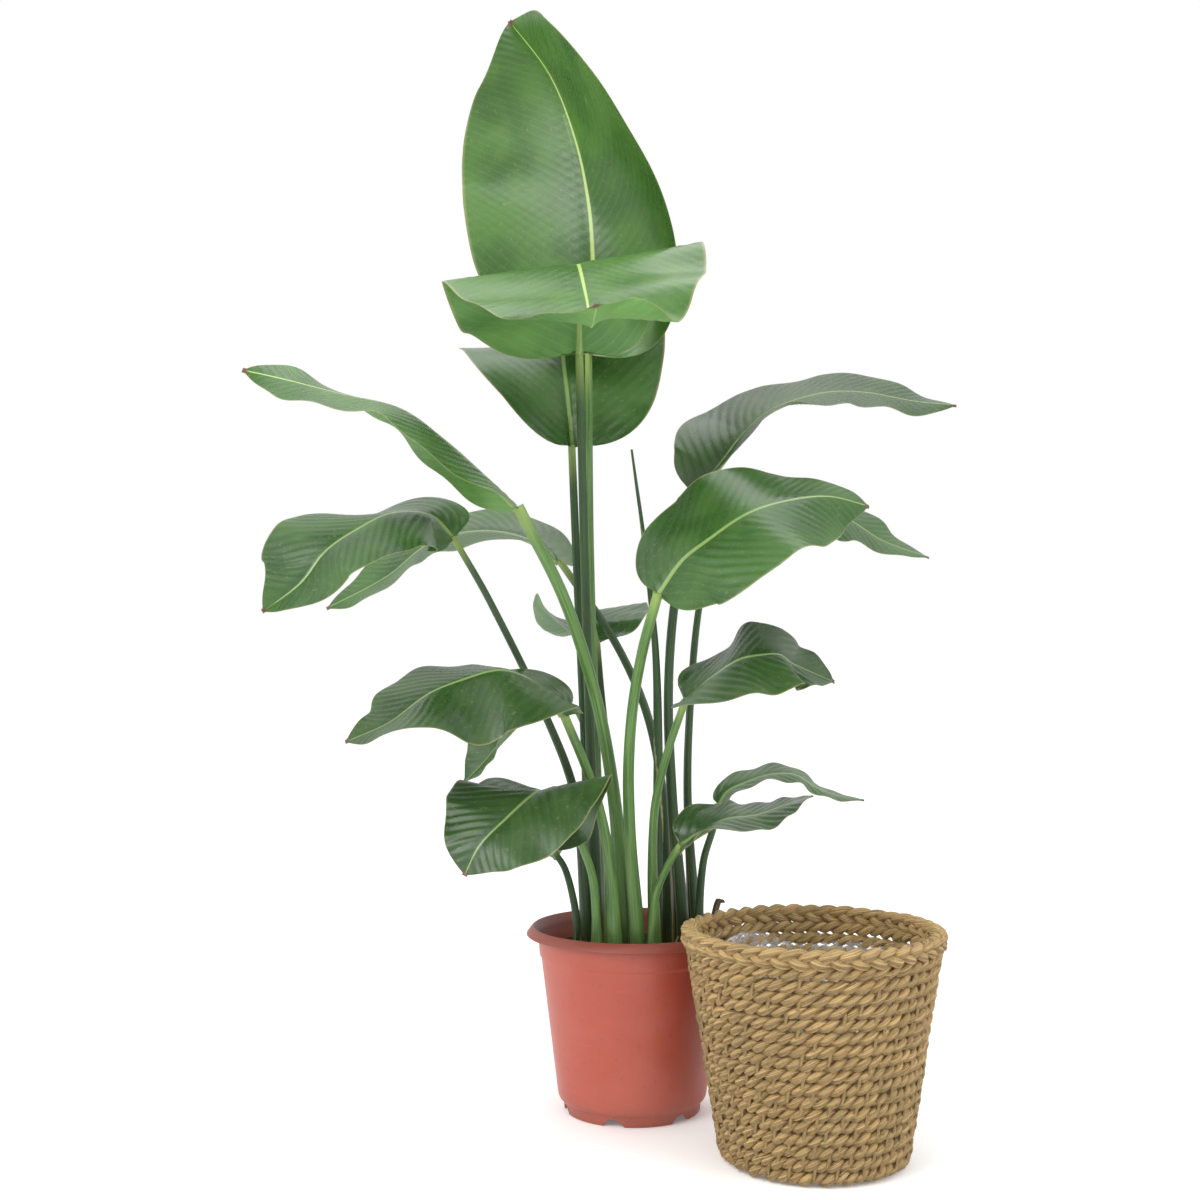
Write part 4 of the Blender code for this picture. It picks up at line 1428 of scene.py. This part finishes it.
@dataclass
class Soil:
    """Crumbly soil surface with loose grains."""

    effects: Effects
    centre: Array
    top: float
    bottom: float
    radius: float
    seed: int = 4
    rings: int = 46
    segments: int = 128
    edge_gap: float = 0.0012
    sink: float = 0.0028
    foot_share: float = 0.76
    lumps: tuple = ((60, 0.0016), (140, 0.0010), (330, 0.0007))
    waves_each: int = 5
    wave_share: float = 0.45
    crumbs: int = 620
    crumb_edge: float = 0.006
    crumb_sizes: tuple[float, float] = (0.0008, 0.0026)
    crumb_stretch: tuple[float, float] = (0.6, 1.3)
    crumb_rise: float = 0.3

    def build(self) -> None:
        """Make the soil as one body and its loose crumbs as another."""
        chance = np.random.default_rng(self.seed)
        share = np.linspace(0, 1, self.rings)[:, None]
        turn = np.linspace(0, FULL_TURN, self.segments, endpoint=False)[None]
        radius = (self.radius - self.edge_gap) * share
        x, y = radius * np.cos(turn), radius * np.sin(turn)
        lumps = np.zeros_like(x)
        for scale, height in self.lumps:
            for _ in range(self.waves_each):
                way = chance.uniform(0, FULL_TURN)
                along = x * math.cos(way) + y * math.sin(way)
                wave = np.sin(scale * along + chance.uniform(0, 6.28))
                lumps += height * wave * self.wave_share
        places = around(self.centre, radius, turn, self.top - self.sink + lumps)
        skin = Skin()
        skin.grid(places, 0, closed=True)
        low = places[-1].copy()
        low[:, 2] = self.bottom
        low[:, :2] = self.centre[:2] + (low[:, :2] - self.centre[:2]) * self.foot_share
        foot = skin.grid(np.stack([places[-1], low]), 0, closed=True, flip=True)
        skin.cap(foot[-1])
        finish = SoilFinish().build(self.effects)
        adopt(skin.finish("soil_bed", [finish], 180.0), "dark_soil", "potting_soil")
        self.build_crumbs(chance, finish)

    def build_crumbs(self, chance: np.random.Generator, finish: Material) -> None:
        """Scatter loose crumbs over the soil.

        Args:
            chance: the source of random draws.
            finish: their material.
        """
        crumbs = bmesh.new()
        for _ in range(self.crumbs):
            away = (self.radius - self.crumb_edge) * math.sqrt(chance.random())
            way = chance.uniform(0, FULL_TURN)
            size = chance.uniform(*self.crumb_sizes)
            made = bmesh.ops.create_icosphere(crumbs, subdivisions=1, radius=size)["verts"]
            bmesh.ops.scale(crumbs, verts=made, vec=chance.uniform(*self.crumb_stretch, 3))
            height = self.top - self.sink + size * self.crumb_rise
            place = around(self.centre, away, way, height)
            bmesh.ops.translate(crumbs, verts=made, vec=place)
        mesh = bpy.data.meshes.new("soil_crumbs")
        crumbs.to_mesh(mesh)
        crumbs.free()
        mesh.materials.append(finish)
        adopt(link("soil_crumbs", mesh), "dark_soil")


# ------------------------------------------------------------------ basket
@dataclass
class Basket:
    """Coiled seagrass basket: twisted rope rows, a braided rim, stitches and loose ends."""

    effects: Effects
    low: Array
    high: Array
    rows: int = 17
    base_radius: float = 0.097
    neck_radius: float = 0.132
    rim_height: float = 0.021
    bead: float = 0.019
    lift: float = 0.0026
    strand: float = 0.0041
    twists: int = 27
    samples_per_twist: int = 9
    strand_offset: float = 0.80
    strand_rise: float = 1.05
    uneven: tuple[float, float] = (0.10, 0.06)
    sag: float = 0.0008
    wall_inset: float = 1.7
    floor_rings: int = 7
    floor_strand: float = 0.0031
    floor_height: float = 0.0058
    floor_middle: float = 0.007
    floor_margin: float = 0.022
    braid_repeats: int = 14
    braid_samples: int = 22
    braid_strand: float = 0.0052
    braid_inset: float = 0.0045
    braid_reach: float = 0.0040
    braid_drop: float = 0.0112
    braid_rise: float = 0.0056
    stitches_each: int = 26
    stitch_radius: float = 0.0017
    stitch_reach: float = 0.0062
    stitch_inset: float = 0.0030
    stitch_arch: float = 0.0022
    stitch_lean: float = 0.010
    full_rows: int = 6
    left_out: float = 0.55
    loose_ends: int = 16
    end_inset: float = 0.002
    end_drop: float = 0.011
    end_bearings: tuple[float, float] = (8, 34)
    end_spread: float = 1.2
    end_reach: tuple[float, float] = (0.008, 0.019)
    end_rise: float = 0.006
    end_arch: tuple[float, float] = (0.001, 0.005)
    end_radius: tuple[float, float] = (0.0007, 0.0022)
    end_flattening: float = 0.35
    seed: int = 7

    def __post_init__(self) -> None:
        """Work out the centre and the height of the rope rows."""
        self.centre = (self.low + self.high) / 2
        self.top = self.high[2]
        self.pitch = (self.top - self.rim_height) / self.rows
        self.chance = np.random.default_rng(self.seed)

    def radius_at(self, height: float) -> float:
        """Outer radius of the wall at a height."""
        spread_out = self.neck_radius - self.base_radius
        return self.base_radius + spread_out * height / (self.top - self.bead)

    def rope(self, skin: Skin, radius: float, height: float, phase: float, thick: float) -> None:
        """Add one strand of a twisted ring, wound around the ring's core line.

        Args:
            skin: the mesh it is added to.
            radius: radius of the core line.
            height: height of the core line.
            phase: where the twist starts.
            thick: radius of the strand.
        """
        count, sides = self.twists * self.samples_per_twist, 8
        turn = np.linspace(0, FULL_TURN, count, endpoint=False)
        twist = self.twists * turn + phase
        offset = thick * self.strand_offset
        slow, quick = self.uneven
        uneven = 1 + slow * np.sin(turn * 5 + phase) + quick * np.sin(turn * 13 + 2 * phase)
        sag = self.sag * np.sin(turn * 3 + phase * 0.7 + height * 60)
        rise = height + offset * self.strand_rise * np.sin(twist) + sag
        places = around(self.centre, radius + offset * np.cos(twist), turn, rise)
        skin.loop(places, thick * uneven, sides, FULL_TURN * radius, phase, height * 7)

    def build(self) -> None:
        """Make the wall, floor, rim, stitches and loose ends."""
        finish = RopeFinish("seagrass_rope").build(self.effects)
        wall = Skin()
        for row in range(self.rows):
            height = self.pitch * (row + 0.5) + self.lift
            radius = self.radius_at(height) - self.strand * self.wall_inset
            phase = float(self.chance.uniform(0, FULL_TURN))
            for half in (0.0, math.pi):
                self.rope(wall, radius, height, phase + half, self.strand)
        for ring in range(self.floor_rings):
            reach = (self.base_radius - self.floor_margin) * ring / (self.floor_rings - 1)
            radius = self.floor_middle + reach
            for half in (0.0, math.pi):
                phase = ring * 1.7 + half
                self.rope(wall, radius, self.floor_height, phase, self.floor_strand)
        adopt(wall.finish("basket_ropes", [finish]), "seagrass", "basket")
        for name, make in (("rim_braid", self.braid), ("stitches", self.stitches),
                           ("loose_ends", self.ends)):
            adopt(make().finish("basket_" + name, [finish]), "seagrass")

    def braid(self) -> Skin:
        """Three-strand braid around the rim.

        Returns:
            The braid.
        """
        skin = Skin()
        count = self.braid_repeats * self.braid_samples
        turn = np.linspace(0, FULL_TURN, count, endpoint=False)
        core = self.neck_radius - self.braid_inset
        for ply in range(3):
            angle = self.braid_repeats * turn + ply * FULL_TURN / 3
            out = core + self.braid_reach * np.sin(2 * angle)
            height = self.top - self.braid_drop + self.braid_rise * np.sin(angle)
            thick = self.braid_strand * (0.92 + 0.10 * np.sin(turn * 4 + ply))
            skin.loop(around(self.centre, out, turn, height), thick, 10, FULL_TURN * core, ply)
        return skin

    def stitches(self) -> Skin:
        """Short upright stitches between the rows, fewer above the lower rows.

        Returns:
            The stitches.
        """
        skin = Skin()
        bend = np.linspace(-1, 1, 7)
        sides = 6
        for row in range(self.rows - 1):
            height = self.pitch * (row + 1) + self.lift
            for k in range(self.stitches_each):
                if row > self.full_rows and self.chance.random() < self.left_out:
                    continue
                step = k + 0.5 * (row % 2) + self.chance.uniform(-0.1, 0.1)
                turn = FULL_TURN * step / self.stitches_each
                out = self.radius_at(height) - self.stitch_inset + self.stitch_arch * (1 - bend**2)
                rise = height + self.stitch_reach * bend
                places = around(self.centre, out, turn + self.stitch_lean * bend, rise)
                lay = pair(bend[:, None] * 0.01 + k, np.linspace(0, 1, sides)[None])
                radii = np.full(len(bend), self.stitch_radius)
                skin.rod(tube_rings(places, radii, sides), lay=lay)
        return skin

    def ends(self) -> Skin:
        """Frayed ends of the braid, tucked out at the right of the rim.

        Returns:
            The loose ends.
        """
        skin = Skin()
        stations, sides = 14, 6
        core = self.neck_radius - self.end_inset
        for k in range(self.loose_ends):
            turn = math.radians(self.chance.uniform(*self.end_bearings))
            start = around(self.centre, core, turn, self.top - self.end_drop)
            way = turn + self.chance.uniform(-self.end_spread, self.end_spread)
            reach = self.chance.uniform(*self.end_reach)
            rise = self.chance.uniform(-self.end_rise, self.end_rise)
            out = np.array([math.cos(way) * self.end_flattening, math.sin(way), 0.0]) * reach
            end = start + out + np.array([0, 0, rise])
            arch = self.chance.uniform(*self.end_arch)
            middle = (start + end) / 2 + np.array([0, 0, arch])
            places = smooth_route([start, middle, end], np.linspace(0, 1, stations))[0]
            thick = self.chance.uniform(*self.end_radius)
            rings = tube_rings(places, np.linspace(thick, thick * 0.35, stations), sides)
            along = np.linspace(0, 0.1, stations)[:, None] + k
            skin.rod(rings, lay=pair(along, np.linspace(0, 1, sides)[None]))
        return skin


@dataclass
class Liner:
    """Crinkled clear film bag inside the basket."""

    effects: Effects
    low: Array
    high: Array
    seed: int = 11
    rings: int = 60
    segments: int = 240
    creases: int = 26
    floor_radius: float = 0.080
    floor_share: float = 0.30
    side_gap: float = 0.002
    floor_gap: float = 0.001
    top_gap: float = 0.003
    crease_counts: tuple[int, int] = (5, 34)
    crease_slope: float = 40.0
    crease_heights: tuple[float, float] = (0.0003, 0.0011)
    wall_crease: float = 0.55
    floor_crease: float = 0.35
    thickness: float = 0.0002

    def build(self) -> None:
        """Make the film as one creased skin with an uneven edge."""
        chance = np.random.default_rng(self.seed)
        centre, size = (self.low + self.high) / 2, self.high - self.low
        share = np.linspace(0, 1, self.rings)[:, None]
        turn = np.linspace(0, FULL_TURN, self.segments, endpoint=False)[None]
        floor_part = np.clip(share / self.floor_share, 0, 1)
        wall_part = np.clip((share - self.floor_share) / (1 - self.floor_share), 0, 1)
        wall_reach = size[0] / 2 - self.side_gap - self.floor_radius
        radius = self.floor_radius * floor_part + wall_reach * wall_part**0.9
        height = self.low[2] + self.floor_gap + (size[2] - self.top_gap) * wall_part
        crease = np.zeros((self.rings, self.segments))
        for _ in range(self.creases):
            count = int(chance.integers(*self.crease_counts))
            rise = chance.uniform(-self.crease_slope, self.crease_slope)
            wave = np.sin(turn * count + rise * share + chance.uniform(0, 6.28))
            crease += np.abs(wave) * chance.uniform(*self.crease_heights)
        crease -= crease.mean()
        radius = radius + crease * self.wall_crease * (0.25 + wall_part) - 0.0022 * wall_part
        low_crease = crease * self.floor_crease * (1 - wall_part) * floor_part
        height = height + low_crease + 0.0016 * (1 - wall_part)
        ragged = 0.006 * np.sin(turn * 3 + 1) + 0.004 * np.sin(turn * 7) - 0.010
        height = height + wall_part**6 * np.minimum(ragged, 0)
        skin = Skin()
        skin.grid(around(centre, radius, turn, height), 0, closed=True)
        finish = FilmFinish().build(self.effects)
        film = skin.finish("liner_film", [finish], 35.0, self.thickness)
        adopt(film, "clear_film", "basket_liner")


# ------------------------------------------------------------------ stage
@dataclass
class Studio:
    """Pale floor, soft lights and the camera."""

    pot_axis: Array
    camera_offset: tuple[float, float, float] = (-0.0366, -1.775, 0.530)
    pitch: float = math.radians(1.48)
    focal_length: float = 46.5
    sensor: float = 36.0
    floor_x: float = 30.0
    floor_y: tuple[float, float] = (-12.0, 60.0)
    floor_z: float = -0.0005
    aim: tuple[float, float, float] = (0.0, 0.0, 0.6)

    def build(self) -> None:
        """Make the floor, the world, the lights and the camera."""
        material, _, shader = start_material("pale_floor", 0.9)
        white = (1.0, 1.0, 1.0, 1.0)
        set_values(shader, Base_Color=(0.97, 0.97, 0.97, 1.0), Emission_Color=white,
                   Emission_Strength=0.12)
        skin = Skin()
        skin.grid(np.array([[(x, y, self.floor_z) for x in (-self.floor_x, self.floor_x)]
                            for y in self.floor_y]))
        skin.finish("floor", [material])
        world = bpy.data.worlds.new("soft_white")
        world.use_nodes = True
        backdrop = world.node_tree.nodes["Background"]
        backdrop.inputs["Color"].default_value = white
        backdrop.inputs["Strength"].default_value = 1.0
        bpy.context.scene.world = world
        bpy.context.scene.view_settings.view_transform = "Standard"
        self.light("key", (-1.6, -1.7, 2.3), 1.6, 46.0)
        self.light("fill", (1.9, -1.4, 1.5), 1.4, 14.0)
        self.light("top", (0.2, 0.3, 2.8), 1.6, 16.0)
        data = bpy.data.cameras.new("camera")
        data.lens = self.focal_length
        data.sensor_width = self.sensor
        data.clip_end = 200.0
        camera = link("camera", data)
        camera.location = Vector(self.pot_axis) + Vector(self.camera_offset)
        camera.rotation_euler = (math.pi / 2 + self.pitch, 0.0, 0.0)
        bpy.context.scene.camera = camera

    def light(self, name: str, place: Sequence[float], size: float, power: float) -> None:
        """Add a soft square light that looks at the plant.

        Args:
            name: its name.
            place: where it hangs.
            size: its side.
            power: its power in watts.
        """
        data = bpy.data.lights.new(name, "AREA")
        data.size = size
        data.energy = power
        lamp = link(name, data)
        lamp.location = place
        aim = Vector(self.aim) - Vector(place)
        lamp.rotation_euler = aim.to_track_quat("-Z", "Y").to_euler()


def main() -> None:
    """Build every part of the scene in order."""
    logging.basicConfig(level=logging.INFO, format="%(name)s: %(message)s")
    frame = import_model()
    LOG.info("frame: %d nodes", len(frame["nodes"]))
    effects = Effects()
    pot, soil, basket, liner = (
        tuple(np.array(corner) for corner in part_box(node))
        for node in ("nursery_pot", "potting_soil", "basket", "basket_liner")
    )
    axis = np.array([*((pot[0] + pot[1]) / 2)[:2], pot[0][2]])
    soil_top = soil[1][2]
    Studio(axis).build()
    Pot(effects, axis, (pot[1][0] - pot[0][0]) / 2, pot[1][2]).build()
    Soil(effects, axis, soil_top, soil[0][2], (soil[1][0] - soil[0][0]) / 2).build()
    Plant(effects, axis, soil_top).build()
    Basket(effects, *basket).build()
    Liner(effects, *liner).build()


if __name__ == "__main__":
    main()
